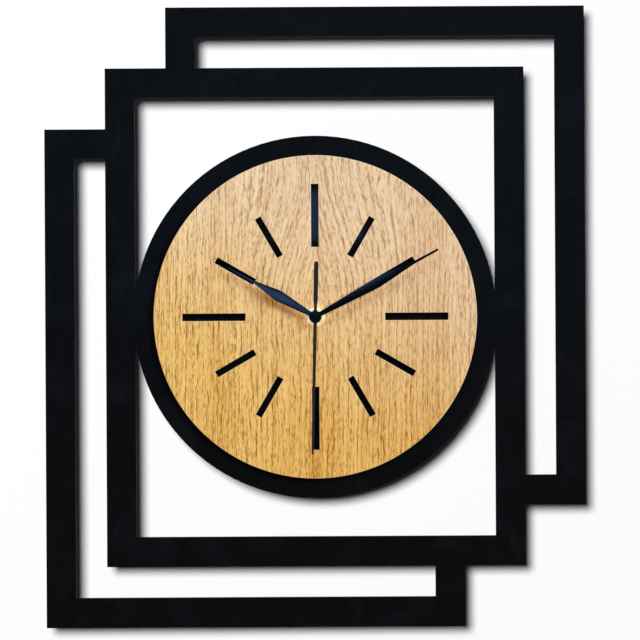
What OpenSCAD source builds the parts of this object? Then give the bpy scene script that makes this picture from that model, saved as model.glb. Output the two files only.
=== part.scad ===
// Wall clock: three staggered rectangular frames with a round oak dial and a quartz movement behind it.
// The dial axis runs along Y through the origin, the wall is the plane Y = 0, and the front faces -Y.

/* [Board] */
// Outer width of each rectangular frame
frame_w = 236; // [220:1:260]
// Outer height of each rectangular frame
frame_h = 281; // [262:1:310]
// Shift sideways and upwards from one frame to the next
frame_step = 34.2; // [28:0.1:40]
// Width of every frame bar
bar_w = 16.7; // [13:0.1:20]
// Thickness of the black board
board_t = 5; // [3:0.1:8]
// How far the round disc runs into each side bar
disc_overlap = 0.8; // [0.4:0.1:3]

/* [Dial] */
// Width of the black ring left around the oak dial
ring_w = 11.1; // [5:0.1:14]
// Thickness of the oak dial
dial_t = 3; // [2:0.1:6]
// Distance from the dial axis to the inner ends of the hour slots
slot_inner_r = 39.4; // [20:0.1:45]
// Length of the slots at 12, 3, 6 and 9
long_slot_l = 35.4; // [26:0.1:37]
// Width of the slots at 12, 3, 6 and 9
long_slot_w = 4.1; // [2:0.1:6]
// Length of the other eight slots
short_slot_l = 24.9; // [15:0.1:34]
// Width of the other eight slots
short_slot_w = 3.6; // [2:0.1:6]

/* [Hour hand] */
// Direction of the hour hand, clockwise from 12
hour_angle = 300; // [0:0.5:359.5]
// Length from the axis to the tip
hour_len = 56; // [50:0.5:66]
// Distance from the axis to the widest place
hour_belly_r = 24; // [16:0.5:30]
// Width at the widest place
hour_belly_w = 6.4; // [4:0.1:9]
// Distance from the axis to where the needle starts
hour_needle_r = 39.5; // [34:0.5:46]
// Width where the blade leaves the hub
hour_neck_w = 2.6; // [1.5:0.1:4]
// Radius of the blade's round hub
hour_hub_r = 3.5; // [3.3:0.1:5]

/* [Minute hand] */
// Direction of the minute hand, clockwise from 12
minute_angle = 61.5; // [0:0.5:359.5]
// Length from the axis to the tip
minute_len = 78.7; // [70:0.1:85]
// Distance from the axis to the widest place
minute_belly_r = 40; // [20:0.5:45]
// Width at the widest place
minute_belly_w = 5.8; // [3:0.1:8]
// Distance from the axis to where the needle starts
minute_needle_r = 63; // [50:0.5:68]
// Width where the blade leaves the hub
minute_neck_w = 2.5; // [1.5:0.1:4]
// Radius of the blade's round hub
minute_hub_r = 3.2; // [2.6:0.1:5]

/* [Second hand] */
// Direction of the second hand, clockwise from 12
second_angle = 181.4; // [0:0.1:359.9]
// Length from the axis to the tip
second_len = 77; // [60:0.5:84]
// Width at the hub
second_root_w = 2; // [1:0.1:3]
// Length of the tail behind the axis
second_tail_l = 31; // [18:0.5:40]
// Distance from the axis to where the tail widens
second_tail_r = 8.5; // [5:0.5:14]
// Width of the tail's neck
second_neck_w = 1.5; // [0.8:0.1:2]
// Width of the tail where its bar starts
second_bar_w = 2.4; // [1.5:0.1:4]
// Width of the tail at its square end
second_end_w = 2.5; // [1.5:0.1:5]
// Radius of the blade's round hub
second_hub_r = 2.2; // [1.6:0.1:3]
// Radius of the hub cap
cap_r = 3.4; // [2.5:0.1:5]
// Height of the hub cap
cap_h = 1.2; // [0.8:0.1:3]

/* [All hands] */
// Thickness of the stamped blades
blade_t = 0.4; // [0.3:0.05:0.6]
// Width of the needles
needle_w = 1.4; // [0.8:0.1:1.8]
// Width of the needle tips
tip_w = 1.2; // [0.5:0.1:1.4]
// Height of each collet
collet_h = 1.5; // [1.2:0.1:2.5]
// Wall of each collet
collet_wall = 0.4; // [0.3:0.05:0.7]
// Room between one hand's collet and the next
hand_gap = 0.5; // [0.4:0.1:1.5]

/* [Shaft] */
// Outer radius of the threaded bush
bush_r = 3.7; // [3.6:0.1:4.3]
// Radius of the bush's inner flange
bush_flange_r = 5.6; // [5:0.1:6.5]
// Thickness of the bush's inner flange
bush_flange_t = 0.7; // [0.5:0.05:0.8]
// Length of bush left standing in front of the nut
bush_proud = 0.6; // [0.3:0.1:2]
// Outer radius of the hour tube
hour_tube_r = 2.5; // [2.4:0.05:2.7]
// Outer radius of the minute tube
minute_tube_r = 1.6; // [1.5:0.05:1.7]
// Radius of the seconds arbor
second_arbor_r = 0.5; // [0.4:0.05:0.6]
// Radius of the washer under the nut
washer_r = 5.3; // [5:0.1:8]
// Thickness of the washer
washer_t = 0.5; // [0.3:0.1:1]
// Width across the flats of the hexagon nut
nut_flats = 9.1; // [8.8:0.1:11]
// Height of the nut
nut_h = 2.4; // [1.5:0.1:4]
// Outer radius of the rubber gasket
gasket_r = 12; // [8:0.5:20]
// Thickness of the rubber gasket
gasket_t = 1; // [0.5:0.1:2]

/* [Movement case] */
// Width of the case
case_w = 56; // [55.6:0.1:58]
// Height of the case
case_h = 56; // [55.8:0.1:58]
// Depth of the case, from the wall to the board's gasket
case_depth = 16.5; // [16.4:0.1:20]
// Wall thickness of the case
case_wall = 1.3; // [1.1:0.05:1.4]
// Thickness of the front cover
cover_t = 1.3; // [1:0.05:1.4]
// Corner radius of the case
corner_r = 3; // [2:0.1:4]
// Wall between the battery bay and the wheels
partition_t = 1.1; // [0.8:0.05:1.3]
// Height of the hanger's hole above the dial axis
hang_rise = 36; // [34:0.5:45]
// Radius of the hanger's hole
hang_hole_r = 3.2; // [2:0.1:4]
// Radius of the hanger's round end
hang_tab_r = 9; // [7:0.5:11]
// Thickness of the hanger
hang_t = 2.4; // [1.6:0.1:4]
// Width of the snap hooks
hook_w = 6; // [5:0.5:9]
// Thickness of the snap hooks
hook_t = 0.8; // [0.6:0.1:1.2]
// Length of the snap hooks below the cover
hook_l = 6; // [5:0.5:9]
// Height of the snap hooks' centres above and below the dial axis
hook_y = 12; // [8:0.5:16]

/* [Wheel train] */
// Distance from the dial axis to the third arbor
third_dist = 11.2; // [11:0.05:11.4]
// Distance from the dial axis to the intermediate arbor
inter_dist = 11.4; // [11.2:0.05:11.6]
// Distance from the intermediate arbor to the rotor
rotor_dist = 8.75; // [8.6:0.05:8.9]
// Distance from the dial axis to the motion wheel's stud
motion_dist = 9; // [8.8:0.05:9.2]
// Distance from the motion wheel's stud to the setting shaft
setting_dist = 9; // [8.8:0.05:9.2]
// Thickness of every wheel
wheel_t = 1; // [0.8:0.05:1.05]
// Length of pinion left on each side of the wheel that it drives
pinion_over = 0.4; // [0.3:0.05:0.45]
// Room between wheels that pass each other
layer_gap = 0.5; // [0.4:0.05:0.55]
// Radius of the small arbors
arbor_r = 0.4; // [0.3:0.05:0.5]
// Radius of the motion wheel's stud
stud_r = 0.8; // [0.6:0.05:0.9]
// Radius of the pivot bosses and posts
boss_r = 1.6; // [1.3:0.05:1.7]
// Height of the pivot bosses inside the rear wall
boss_h = 1.2; // [1:0.05:1.3]
// Length of each pivot in its hole
pivot_l = 1.4; // [1:0.05:1.5]
// Thickness of the clutch spring
spring_t = 0.4; // [0.3:0.05:0.5]
// Radius of the setting shaft
setting_shaft_r = 1; // [0.8:0.05:1.2]
// Radius of the setting knob
knob_r = 4.8; // [4:0.1:5.2]
// Height of the setting knob
knob_h = 2.6; // [2:0.1:3]
// Number of grip notches around the knob
knob_notches = 18; // [12:1:24]

/* [Motor] */
// Radius of the rotor magnet
magnet_r = 3; // [2.6:0.05:3.2]
// Height of the rotor magnet
magnet_h = 2.6; // [2:0.05:2.8]
// Air gap between the magnet and the stator
air_gap = 0.4; // [0.3:0.05:0.5]
// Width of the stator around the rotor
pole_w = 2; // [1.5:0.05:2.2]
// Thickness of the stator and of the coil core
stator_t = 1; // [0.8:0.05:1.1]
// Width of the stator's legs
leg_w = 3.2; // [2.6:0.05:3.4]
// Height of the coil's axis above the dial axis
coil_y = 21.2; // [21:0.05:21.8]
// Radius of the bobbin's flanges
flange_r = 3.9; // [3.7:0.05:4]
// Radius of the winding
winding_r = 3.5; // [3:0.05:3.6]
// Wall of the bobbin's barrel
barrel_wall = 0.5; // [0.4:0.05:0.7]
// Thickness of the bobbin's flanges
flange_t = 0.8; // [0.6:0.05:1]
// Radius of the coil's leads
lead_r = 0.2; // [0.15:0.05:0.3]

/* [Circuit] */
// Width of the circuit board
pcb_w = 14.4; // [13.5:0.1:14.6]
// Height of the circuit board
pcb_h = 13.2; // [12.5:0.1:13.6]
// Thickness of the circuit board
pcb_t = 1; // [0.8:0.05:1.2]
// Radius of the chip's resin blob
chip_r = 3; // [2:0.1:3.2]
// Height of the chip's resin blob
chip_h = 1.2; // [0.8:0.1:1.6]
// Radius of the crystal's can
crystal_r = 1; // [0.8:0.05:1.2]
// Length of the crystal's can
crystal_l = 6; // [5:0.1:7]

/* [Battery] */
// Radius of the AA cell
cell_r = 7.25; // [7.1:0.01:7.28]
// Length of the AA cell with its nub
cell_l = 50.5; // [50:0.05:50.8]
// Radius of the cell's nub
nub_r = 2.75; // [2.2:0.05:3.2]
// Height of the cell's nub
nub_h = 1.2; // [1:0.05:1.6]
// Thickness of the cell's sleeve
sleeve_t = 0.2; // [0.1:0.05:0.4]
// Depth of the cell below the rear face of the case
cell_sink = 0.45; // [0.4:0.01:0.5]
// Thickness of the contact strips
contact_t = 0.4; // [0.3:0.05:0.45]
// Width of the contact strips
strip_w = 2; // [1.5:0.05:2.2]
// Radius of the finger notch beside the cell
notch_r = 8; // [6:0.5:10]

/* [Fits] */
// Radial clearance of turning fits
running_gap = 0.06; // [0.03:0.01:0.1]
// Clearance of pressed or riveted pieces
press_gap = 0.01; // [0.01:0.01:0.03]
// Clearance of loose pieces
loose_gap = 0.2; // [0.15:0.05:0.25]
// Gap left where flat pieces are laid beside each other
seat_gap = 0.05; // [0.03:0.01:0.1]

/* [Hidden] */
$fn = 96;
// How far a cut runs past the faces that it goes through
through = 1;

// Tooth counts: rotor to seconds 30 to 1, seconds to minutes 60 to 1, minutes to hours 12 to 1
rotor_teeth = 10;
inter_teeth = 60;
inter_pinion_teeth = 10;
second_teeth = 50;
second_pinion_teeth = 10;
third_teeth = 75;
third_pinion_teeth = 10;
centre_teeth = 80;
cannon_teeth = 15;
motion_teeth = 45;
motion_pinion_teeth = 12;
hour_teeth = 48;
setting_teeth = 15;
// Tooth form: pressure angle, profile shift of the pinions, and shares of the module
pressure_angle = 20;
pinion_shift = 0.4;
addendum = 0.85;
dedendum = 1.25;
backlash = 0.12;
flank_steps = 2;

// Board and dial
disc_r = frame_w / 2 - bar_w + disc_overlap;
dial_r = disc_r - ring_w;

// Distances from the wall of the pieces stacked on the shaft
cover_in_z = case_depth - cover_t;
board_back_z = case_depth + gasket_t;
dial_back_z = board_back_z + board_t;
washer_z = dial_back_z + dial_t;
nut_z = washer_z + washer_t;
bush_front_z = nut_z + nut_h + bush_proud;
hour_collet_z = bush_front_z + hand_gap;
hour_front_z = hour_collet_z + collet_h;
minute_collet_z = hour_front_z + hand_gap;
minute_front_z = minute_collet_z + collet_h;
second_collet_z = minute_front_z + hand_gap;
second_front_z = second_collet_z + collet_h;

// Radii of the nested tubes, from the seconds arbor outwards
minute_bore_r = second_arbor_r + running_gap;
hour_bore_r = minute_tube_r + running_gap;
bush_bore_r = hour_tube_r + running_gap;
bush_hole_r = bush_r + loose_gap;
hour_collet_r = hour_tube_r + press_gap + collet_wall;
minute_collet_r = minute_tube_r + press_gap + collet_wall;
second_collet_r = second_arbor_r + press_gap + collet_wall;
boss_hole_r = arbor_r + running_gap;

// Distances from the wall of the wheels, layer by layer
pivot_sink = 0.4;
rear_skin = case_wall - pivot_sink;
arbor_end_gap = 0.1;
pivot_z = rear_skin + arbor_end_gap;
boss_top_z = case_wall + boss_h;
inter_wheel_z = boss_top_z + pinion_over;
second_wheel_z = inter_wheel_z + wheel_t + layer_gap;
third_wheel_z = second_wheel_z + wheel_t + 2 * pinion_over + layer_gap;
second_pinion_end_z = third_wheel_z + wheel_t + pinion_over;
tube_flange_t = 0.4;
tube_flange_r = 2.6;
tube_back_z = second_pinion_end_z + layer_gap;
centre_wheel_z = tube_back_z + tube_flange_t;
spring_z = centre_wheel_z + wheel_t;
cannon_z = spring_z + spring_t;
motion_wheel_z = cannon_z + pinion_over;
cannon_end_z = motion_wheel_z + wheel_t + pinion_over;
hour_wheel_z = cannon_end_z + layer_gap;
motion_end_z = hour_wheel_z + wheel_t + pinion_over;
post_z = centre_wheel_z + wheel_t + pinion_over + layer_gap;
stud_z = spring_z + spring_t;
magnet_z = inter_wheel_z + wheel_t + pinion_over + layer_gap;
rotor_hub_r = 0.9;
rotor_post_z = magnet_z + magnet_h + layer_gap;

// Places of the arbors, as seen from the front
third_dir = 125;
third_at = polar(third_dist, third_dir);
inter_dir = 25;
inter_at = polar(inter_dist, inter_dir);
rotor_dir = 40;
rotor_at = inter_at + polar(rotor_dist, rotor_dir);
motion_dir = 190;
motion_at = polar(motion_dist, motion_dir);
setting_dir = 175;
setting_at = motion_at + polar(setting_dist, setting_dir);

// Modules of the meshing pairs, from their centre distances
rotor_m = 2 * rotor_dist / (rotor_teeth + inter_teeth);
inter_m = 2 * inter_dist / (inter_pinion_teeth + second_teeth);
second_m = 2 * third_dist / (second_pinion_teeth + third_teeth);
third_m = 2 * third_dist / (third_pinion_teeth + centre_teeth);
cannon_m = 2 * motion_dist / (cannon_teeth + motion_teeth);
motion_m = 2 * motion_dist / (motion_pinion_teeth + hour_teeth);
setting_m = 2 * setting_dist / (setting_teeth + motion_teeth);

// Turns of the gears that put their teeth in mesh with gears drawn at zero
motion_phase = mesh_phase(0, cannon_teeth, motion_dir, motion_teeth);
setting_phase = mesh_phase(motion_phase, motion_teeth, setting_dir, setting_teeth);
hour_phase = mesh_phase(0, motion_pinion_teeth, motion_dir + 180, hour_teeth);
third_pinion_phase = mesh_phase(0, centre_teeth, third_dir, third_pinion_teeth);
second_pinion_phase = mesh_phase(0, third_teeth, third_dir + 180, second_pinion_teeth);
inter_pinion_phase = mesh_phase(0, second_teeth, inter_dir, inter_pinion_teeth);
rotor_phase = mesh_phase(0, inter_teeth, rotor_dir, rotor_teeth);

// Inside of the case: its pieces are laid out for the standard case and drawn at their share of this one
standard_case = 56;
inner_x = standard_case / 2 - case_wall;
inner_y = standard_case / 2 - case_wall;
case_fit = (min(case_w, case_h) / 2 - case_wall) / inner_x;
bay_gap = 0.25;
cell_y = -inner_y + bay_gap + cell_r;
cell_z = cell_sink + cell_r;
bay_top_y = cell_y + cell_r + bay_gap;
partition_top_y = bay_top_y + partition_t;
knob_sink = 0.4;
knob_room = 0.6;
well_r = knob_r + knob_room;
well_z = knob_sink + knob_h + loose_gap;
well_floor_t = 1;
setting_post_wall = 1;
setting_post_r = setting_shaft_r + setting_post_wall;
setting_post_z = motion_wheel_z + wheel_t + pinion_over + layer_gap;

// Motor: the stator lies on two posts, and the core joins its legs in front
stator_z = magnet_z + (magnet_h - stator_t) / 2;
core_z = stator_z + stator_t;
coil_z = core_z + stator_t / 2;
pole_r = magnet_r + air_gap + pole_w;
right_leg_x = inner_x - loose_gap - leg_w;
arm_l = 2.6;
arm_w = 4;
left_leg_x = rotor_at[0] - pole_r - arm_l - leg_w;
leg_top_y = coil_y + leg_w / 2;
pin_r = 0.7;
pin_hole_r = pin_r + seat_gap;
leg_pin_y = coil_y;
pin_proud = 0.4;
barrel_r = norm([leg_w, stator_t]) / 2 + barrel_wall;
bobbin_x = left_leg_x + leg_w + loose_gap;
bobbin_l = right_leg_x - loose_gap - bobbin_x;

// Circuit board, on two posts at the right of the wheels
pcb_room = 0.9;
pcb_lift = 1.7;
pcb_x = inner_x - loose_gap - pcb_w;
pcb_y = partition_top_y + pcb_room;
pcb_z = coil_z + pcb_lift;
pcb_front_z = pcb_z + pcb_t;
pcb_post_inset = [4, 2.7];
pcb_post_x = pcb_x + pcb_w - pcb_post_inset[0];
pcb_post_ys = [pcb_y + pcb_post_inset[1], pcb_y + pcb_h - pcb_post_inset[1]];
pcb_post_r = 1.5;
chip_inset = 4.6;
chip_at = [pcb_x + chip_inset, pcb_y + pcb_h / 2];
crystal_inset = 9;
crystal_x = pcb_x + crystal_inset;
lead_inset = 1.3;
lead_pitch = 1.1;
lead_xs = [inner_x - lead_inset - lead_pitch, inner_x - lead_inset];
lead_land = 3;
lead_low_y = pcb_y + pcb_h - lead_land;
block_drop = 1;
block_h = 2.4;
block_t = 1.6;
lead_high_y = coil_y - leg_w / 2 - block_drop;

// Battery contacts
plate_in_x = inner_x - seat_gap - contact_t;
nub_x = -plate_in_x + seat_gap;
can_x = nub_x + nub_h;
cell_end_x = nub_x + cell_l;
plate_w = 9.6;
strip_y = partition_top_y + seat_gap;
strip_lift = 0.9;
strip_z = pcb_front_z + strip_lift;
tab_w = 1.5;
tab_inset = 0.5;
leaf_t = 0.3;
leaf_w = 4;
leaf_half = 3.4;

function polar(r, a) = [r * cos(a), r * sin(a)];

// Turn of gear b that puts it in mesh with gear a, whose first tooth points to phase_a
// toward is the direction from a's centre to b's
function mesh_phase(phase_a, teeth_a, toward, teeth_b) =
    toward + 180 + ((toward - phase_a) * teeth_a / 360 + 0.5) * 360 / teeth_b;

function involute(r, base_r) =
    let (a = acos(min(1, base_r / r)))
    tan(a) * 180 / PI - a;

// One flank from root to tip, as pairs of radius and half tooth angle
function flank(teeth, m, shift) =
    let (
        pitch_r = m * teeth / 2,
        base_r = pitch_r * cos(pressure_angle),
        tip_r = pitch_r + m * (addendum + shift),
        root_r = pitch_r - m * (dedendum - shift),
        half_w = m * (PI / 2 + 2 * shift * tan(pressure_angle) - backlash) / 2,
        base_half = half_w / pitch_r * 180 / PI + involute(pitch_r, base_r),
        start_r = max(base_r, root_r),
        curve = [
            for (k = [0 : flank_steps])
                let (r = start_r + (tip_r - start_r) * k / flank_steps)
                [r, base_half - involute(r, base_r)]
        ]
    )
    root_r < base_r ? concat([[root_r, base_half]], curve) : curve;

function gear_points(teeth, m, shift) =
    let (side = flank(teeth, m, shift), last = len(side) - 1)
    [
        for (i = [0 : teeth - 1])
            for (k = [0 : 2 * last + 1])
                let (p = k <= last ? [side[k][0], -side[k][1]] : side[2 * last + 1 - k])
                polar(p[0], i * 360 / teeth + p[1])
    ];

// Stands a shape drawn as seen from the front, with z counted from the wall, into the clock's own frame
module from_front() rotate([90, 0, 0]) children();

// Brings pieces laid out for the standard case to this case's size
module laid_out() scale([case_fit, case_fit, 1]) children();

module in_case() from_front() laid_out() children();

module gear(teeth, m, shift, t) linear_extrude(t) polygon(gear_points(teeth, m, shift));

module slab(w, h, t) translate([-w / 2, -h / 2, 0]) cube([w, h, t]);

module round_slab(w, h, t, r) {
    slab(w - 2 * r, h, t);
    slab(w, h - 2 * r, t);
    for (x = [-1, 1], y = [-1, 1])
        translate([x * (w / 2 - r), y * (h / 2 - r), 0]) cylinder(r = r, h = t);
}

module ring(outer_r, inner_r, t) difference() {
    cylinder(r = outer_r, h = t);
    translate([0, 0, -through]) cylinder(r = inner_r, h = t + 2 * through);
}

// A box between two corners
module span(low, high) translate(low) cube(high - low);

module frame_ring() difference() {
    slab(frame_w, frame_h, board_t);
    translate([0, 0, -through]) slab(frame_w - 2 * bar_w, frame_h - 2 * bar_w, board_t + 2 * through);
}

// A side frame, cut off under the middle frame's bars
module side_frame(side) difference() {
    translate([side * frame_step, side * frame_step, 0]) frame_ring();
    translate([0, 0, -through]) slab(frame_w - bar_w, frame_h - bar_w, board_t + 2 * through);
}

module frame_board() color("#17181b") from_front() translate([0, 0, board_back_z]) difference() {
    union() {
        side_frame(-1);
        side_frame(1);
        frame_ring();
        cylinder(r = disc_r, h = board_t);
    }
    translate([0, 0, -through]) cylinder(r = bush_hole_r, h = board_t + 2 * through);
}

module hour_slot(l, w) translate([-w / 2, slot_inner_r, -through]) cube([w, l, dial_t + 2 * through]);

module oak_dial() color("#d9b27a") from_front() translate([0, 0, dial_back_z]) difference() {
    ring(dial_r, bush_hole_r, dial_t);
    for (hour = [0 : 11])
        rotate(-30 * hour)
            if (hour % 3 == 0) hour_slot(long_slot_l, long_slot_w);
            else hour_slot(short_slot_l, short_slot_w);
}

module gasket() color("#26262a") from_front() translate([0, 0, case_depth])
    ring(gasket_r, bush_hole_r, gasket_t);

module threaded_bush() color("#cfa855") from_front() difference() {
    union() {
        translate([0, 0, cover_in_z - bush_flange_t]) cylinder(r = bush_flange_r, h = bush_flange_t);
        translate([0, 0, cover_in_z]) cylinder(r = bush_r, h = bush_front_z - cover_in_z);
    }
    cylinder(r = bush_bore_r, h = bush_front_z + through);
}

module dial_washer() color("#d8b765") from_front() translate([0, 0, washer_z])
    ring(washer_r, bush_hole_r, washer_t);

module dial_nut() color("#d8b765") from_front() translate([0, 0, nut_z]) difference() {
    cylinder(d = nut_flats / cos(30), h = nut_h, $fn = 6);
    translate([0, 0, -through]) cylinder(r = bush_r + press_gap, h = nut_h + 2 * through);
}

// Holes of the rear pivots, in bosses inside the rear wall
module rear_boss(at) translate(at) cylinder(r = boss_r, h = boss_top_z);

module rear_pivot_hole(at, r) translate([at[0], at[1], rear_skin]) cylinder(r = r, h = boss_top_z);

// A post with a thin pin, which carries a plate of thickness t at height z
module pin_post(at, r, z, t) translate(at) {
    cylinder(r = r, h = z);
    cylinder(r = pin_r, h = z + t + pin_proud);
}

module hanger() difference() {
    union() {
        span([-hang_tab_r, case_h / 2 - case_wall, 0], [hang_tab_r, hang_rise, hang_t]);
        translate([0, hang_rise, 0]) cylinder(r = hang_tab_r, h = hang_t);
    }
    translate([0, hang_rise, -through]) cylinder(r = hang_hole_r, h = hang_t + 2 * through);
    slab(case_w - case_wall, case_h - case_wall, hang_t + through);
}

// Catches on the case's sides that the cover's snap hooks close over
module hook_catches() {
    catch_w = hook_w / 2 - 2 * loose_gap;
    catch_h = hook_l / 3 - 2 * loose_gap;
    catch_z = cover_in_z - hook_l * 2 / 3 + loose_gap;
    for (x = [-1, 1], y = [-1, 1])
        translate([x * case_w / 2, y * hook_y, catch_z]) slab(2 * (hook_t - loose_gap), catch_w, catch_h);
}

module case_shell() difference() {
    floor_t = case_h / 2 - inner_y * case_fit;
    round_slab(case_w, case_h, cover_in_z, corner_r);
    translate([0, floor_t - case_h / 2 + through, 0]) rotate([90, 0, 0])
        cylinder(r = notch_r, h = floor_t + 2 * through);
    laid_out() {
        span([-inner_x, partition_top_y, case_wall], [inner_x, inner_y, case_depth]);
        span([-inner_x, -inner_y, -through], [inner_x, bay_top_y, case_depth]);
        // Ways for the two contact strips through the partition
        span([-inner_x, bay_top_y - through, strip_z - loose_gap],
            [-plate_in_x + loose_gap, partition_top_y + through, strip_z + strip_w + loose_gap]);
        span([plate_in_x - loose_gap, bay_top_y - through, pcb_front_z - loose_gap],
            [inner_x, partition_top_y + through, strip_z + strip_w + loose_gap]);
    }
}

module movement_case() color("#1d1e20") from_front() difference() {
    union() {
        case_shell();
        hanger();
        hook_catches();
        laid_out() {
            for (at = [[0, 0], third_at, inter_at, rotor_at]) rear_boss(at);
            for (x = [left_leg_x + leg_w / 2, right_leg_x + leg_w / 2])
                pin_post([x, leg_pin_y], boss_r, stator_z, 2 * stator_t);
            for (y = pcb_post_ys) pin_post([pcb_post_x, y], pcb_post_r, pcb_z, pcb_t);
            translate(setting_at) cylinder(r = well_r + case_wall, h = well_z + well_floor_t);
        }
    }
    rear_pivot_hole([0, 0], minute_bore_r);
    laid_out() {
        for (at = [third_at, inter_at, rotor_at]) rear_pivot_hole(at, boss_hole_r);
        translate([setting_at[0], setting_at[1], -through]) cylinder(r = well_r, h = well_z + through);
        translate(setting_at) cylinder(r = setting_shaft_r + running_gap, h = case_depth);
    }
}

// A post behind the front cover with a blind hole for a front pivot
module front_post(at, r, z) translate([at[0], at[1], z]) cylinder(r = r, h = cover_in_z - z);

module front_pivot_hole(at, r, z) translate([at[0], at[1], z - through])
    cylinder(r = r, h = pivot_l + arbor_end_gap + through);

module snap_hook() difference() {
    translate([0, 0, cover_in_z - hook_l]) slab(2 * hook_t, hook_w, hook_l + cover_t);
    translate([0, 0, cover_in_z - hook_l * 2 / 3]) slab(4 * hook_t, hook_w / 2, hook_l / 3);
}

module front_cover() color("#1d1e20") from_front() difference() {
    union() {
        translate([0, 0, cover_in_z]) round_slab(case_w, case_h, cover_t, corner_r);
        difference() {
            for (x = [-1, 1], y = [-1, 1]) translate([x * case_w / 2, y * hook_y, 0]) snap_hook();
            slab(case_w + 2 * seat_gap, case_h, cover_in_z);
        }
        laid_out() {
            front_post(third_at, boss_r, post_z);
            front_post(inter_at, boss_r, post_z);
            front_post(rotor_at, boss_r, rotor_post_z);
            front_post(setting_at, setting_post_r, setting_post_z);
            front_post(motion_at, stud_r, stud_z);
        }
    }
    laid_out() {
        front_pivot_hole(third_at, boss_hole_r, post_z);
        front_pivot_hole(inter_at, boss_hole_r, post_z);
        front_pivot_hole(rotor_at, boss_hole_r, rotor_post_z);
        front_pivot_hole(setting_at, setting_shaft_r + running_gap, setting_post_z);
    }
    translate([0, 0, cover_in_z - through]) cylinder(r = bush_r + press_gap, h = cover_t + 2 * through);
}

// A flat blade from stations of distance from the axis and width
module blade_outline(stations) polygon(concat(
    [for (s = stations) [s[1] / 2, s[0]]],
    [for (k = [len(stations) - 1 : -1 : 0]) [-stations[k][1] / 2, stations[k][0]]]
));

module blade(stations, hub_r, hole_r) difference() {
    union() {
        linear_extrude(blade_t) blade_outline(stations);
        cylinder(r = hub_r, h = blade_t);
    }
    translate([0, 0, -through]) cylinder(r = hole_r, h = blade_t + 2 * through);
}

// Blades sit half way up their collets
module at_blade(collet_z, angle) from_front() rotate(-angle)
    translate([0, 0, collet_z + (collet_h - blade_t) / 2]) children();

module hour_hand() color("#121418") at_blade(hour_collet_z, hour_angle) blade([
    [0, hour_neck_w],
    [hour_hub_r, hour_neck_w],
    [hour_belly_r, hour_belly_w],
    [hour_needle_r, needle_w],
    [hour_len, tip_w]
], hour_hub_r, hour_collet_r + press_gap);

module minute_hand() color("#121418") at_blade(minute_collet_z, minute_angle) blade([
    [0, minute_neck_w],
    [minute_hub_r, minute_neck_w],
    [minute_belly_r, minute_belly_w],
    [minute_needle_r, needle_w],
    [minute_len, tip_w]
], minute_hub_r, minute_collet_r + press_gap);

module second_hand() color("#121418") at_blade(second_collet_z, second_angle) blade([
    [-second_tail_l, second_end_w],
    [-second_tail_r, second_bar_w],
    [-second_tail_r + second_bar_w / 2, second_neck_w],
    [0, second_root_w],
    [second_len, tip_w]
], second_hub_r, second_collet_r + press_gap);

module hour_collet() color("#2a2b2e") from_front() translate([0, 0, hour_collet_z])
    ring(hour_collet_r, hour_tube_r + press_gap, collet_h);

module minute_collet() color("#2a2b2e") from_front() translate([0, 0, minute_collet_z])
    ring(minute_collet_r, minute_tube_r + press_gap, collet_h);

module second_collet() color("#2a2b2e") from_front() translate([0, 0, second_collet_z])
    ring(second_collet_r, second_arbor_r + press_gap, collet_h);

module second_cap() color("#0f1626") from_front() translate([0, 0, second_front_z])
    cylinder(r = cap_r, h = cap_h);

module hour_wheel() color("#e8e4da") from_front() difference() {
    union() {
        translate([0, 0, hour_wheel_z]) laid_out() rotate(hour_phase)
            gear(hour_teeth, motion_m, -pinion_shift, wheel_t);
        translate([0, 0, hour_wheel_z]) cylinder(r = hour_tube_r, h = hour_front_z - hour_wheel_z);
    }
    cylinder(r = hour_bore_r, h = hour_front_z + through);
}

module minute_tube() color("#cfa855") from_front() difference() {
    union() {
        translate([0, 0, tube_back_z]) cylinder(r = tube_flange_r, h = tube_flange_t);
        translate([0, 0, tube_back_z]) cylinder(r = minute_tube_r, h = minute_front_z - tube_back_z);
        translate([0, 0, cannon_z]) laid_out()
            gear(cannon_teeth, cannon_m, pinion_shift, cannon_end_z - cannon_z);
    }
    cylinder(r = minute_bore_r, h = minute_front_z + through);
}

module centre_wheel() color("#e8e4da") from_front() translate([0, 0, centre_wheel_z]) difference() {
    laid_out() gear(centre_teeth, third_m, -pinion_shift, wheel_t);
    translate([0, 0, -through]) cylinder(r = minute_tube_r + press_gap, h = wheel_t + 2 * through);
}

module clutch_spring() color("#c9ccd0") from_front() translate([0, 0, spring_z])
    ring(tube_flange_r, minute_tube_r + press_gap, spring_t);

module second_arbor() color("#c9ccd0") from_front() translate([0, 0, pivot_z])
    cylinder(r = second_arbor_r, h = second_front_z - pivot_z);

module second_wheel() color("#e8e4da") from_front() difference() {
    pinion_z = third_wheel_z - pinion_over;
    union() {
        translate([0, 0, second_wheel_z]) laid_out() gear(second_teeth, inter_m, -pinion_shift, wheel_t);
        translate([0, 0, second_wheel_z])
            cylinder(r = 2 * second_arbor_r, h = second_pinion_end_z - second_wheel_z);
        translate([0, 0, pinion_z]) laid_out() rotate(second_pinion_phase)
            gear(second_pinion_teeth, second_m, pinion_shift, second_pinion_end_z - pinion_z);
    }
    cylinder(r = second_arbor_r + press_gap, h = case_depth);
}

// A wheel and its pinion on one small arbor; the pinion starts at the wheel's front face
module wheel_pair(at, z, teeth, m, pinion_teeth, pinion_m, pinion_phase, end_z)
    in_case() translate(at) difference() {
        union() {
            translate([0, 0, z]) gear(teeth, m, -pinion_shift, wheel_t);
            translate([0, 0, z + wheel_t]) rotate(pinion_phase)
                gear(pinion_teeth, pinion_m, pinion_shift, end_z - z - wheel_t);
        }
        cylinder(r = arbor_r + press_gap, h = case_depth);
    }

module third_wheel() color("#e8e4da") wheel_pair(third_at, third_wheel_z, third_teeth, second_m,
    third_pinion_teeth, third_m, third_pinion_phase, centre_wheel_z + wheel_t + pinion_over);

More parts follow.
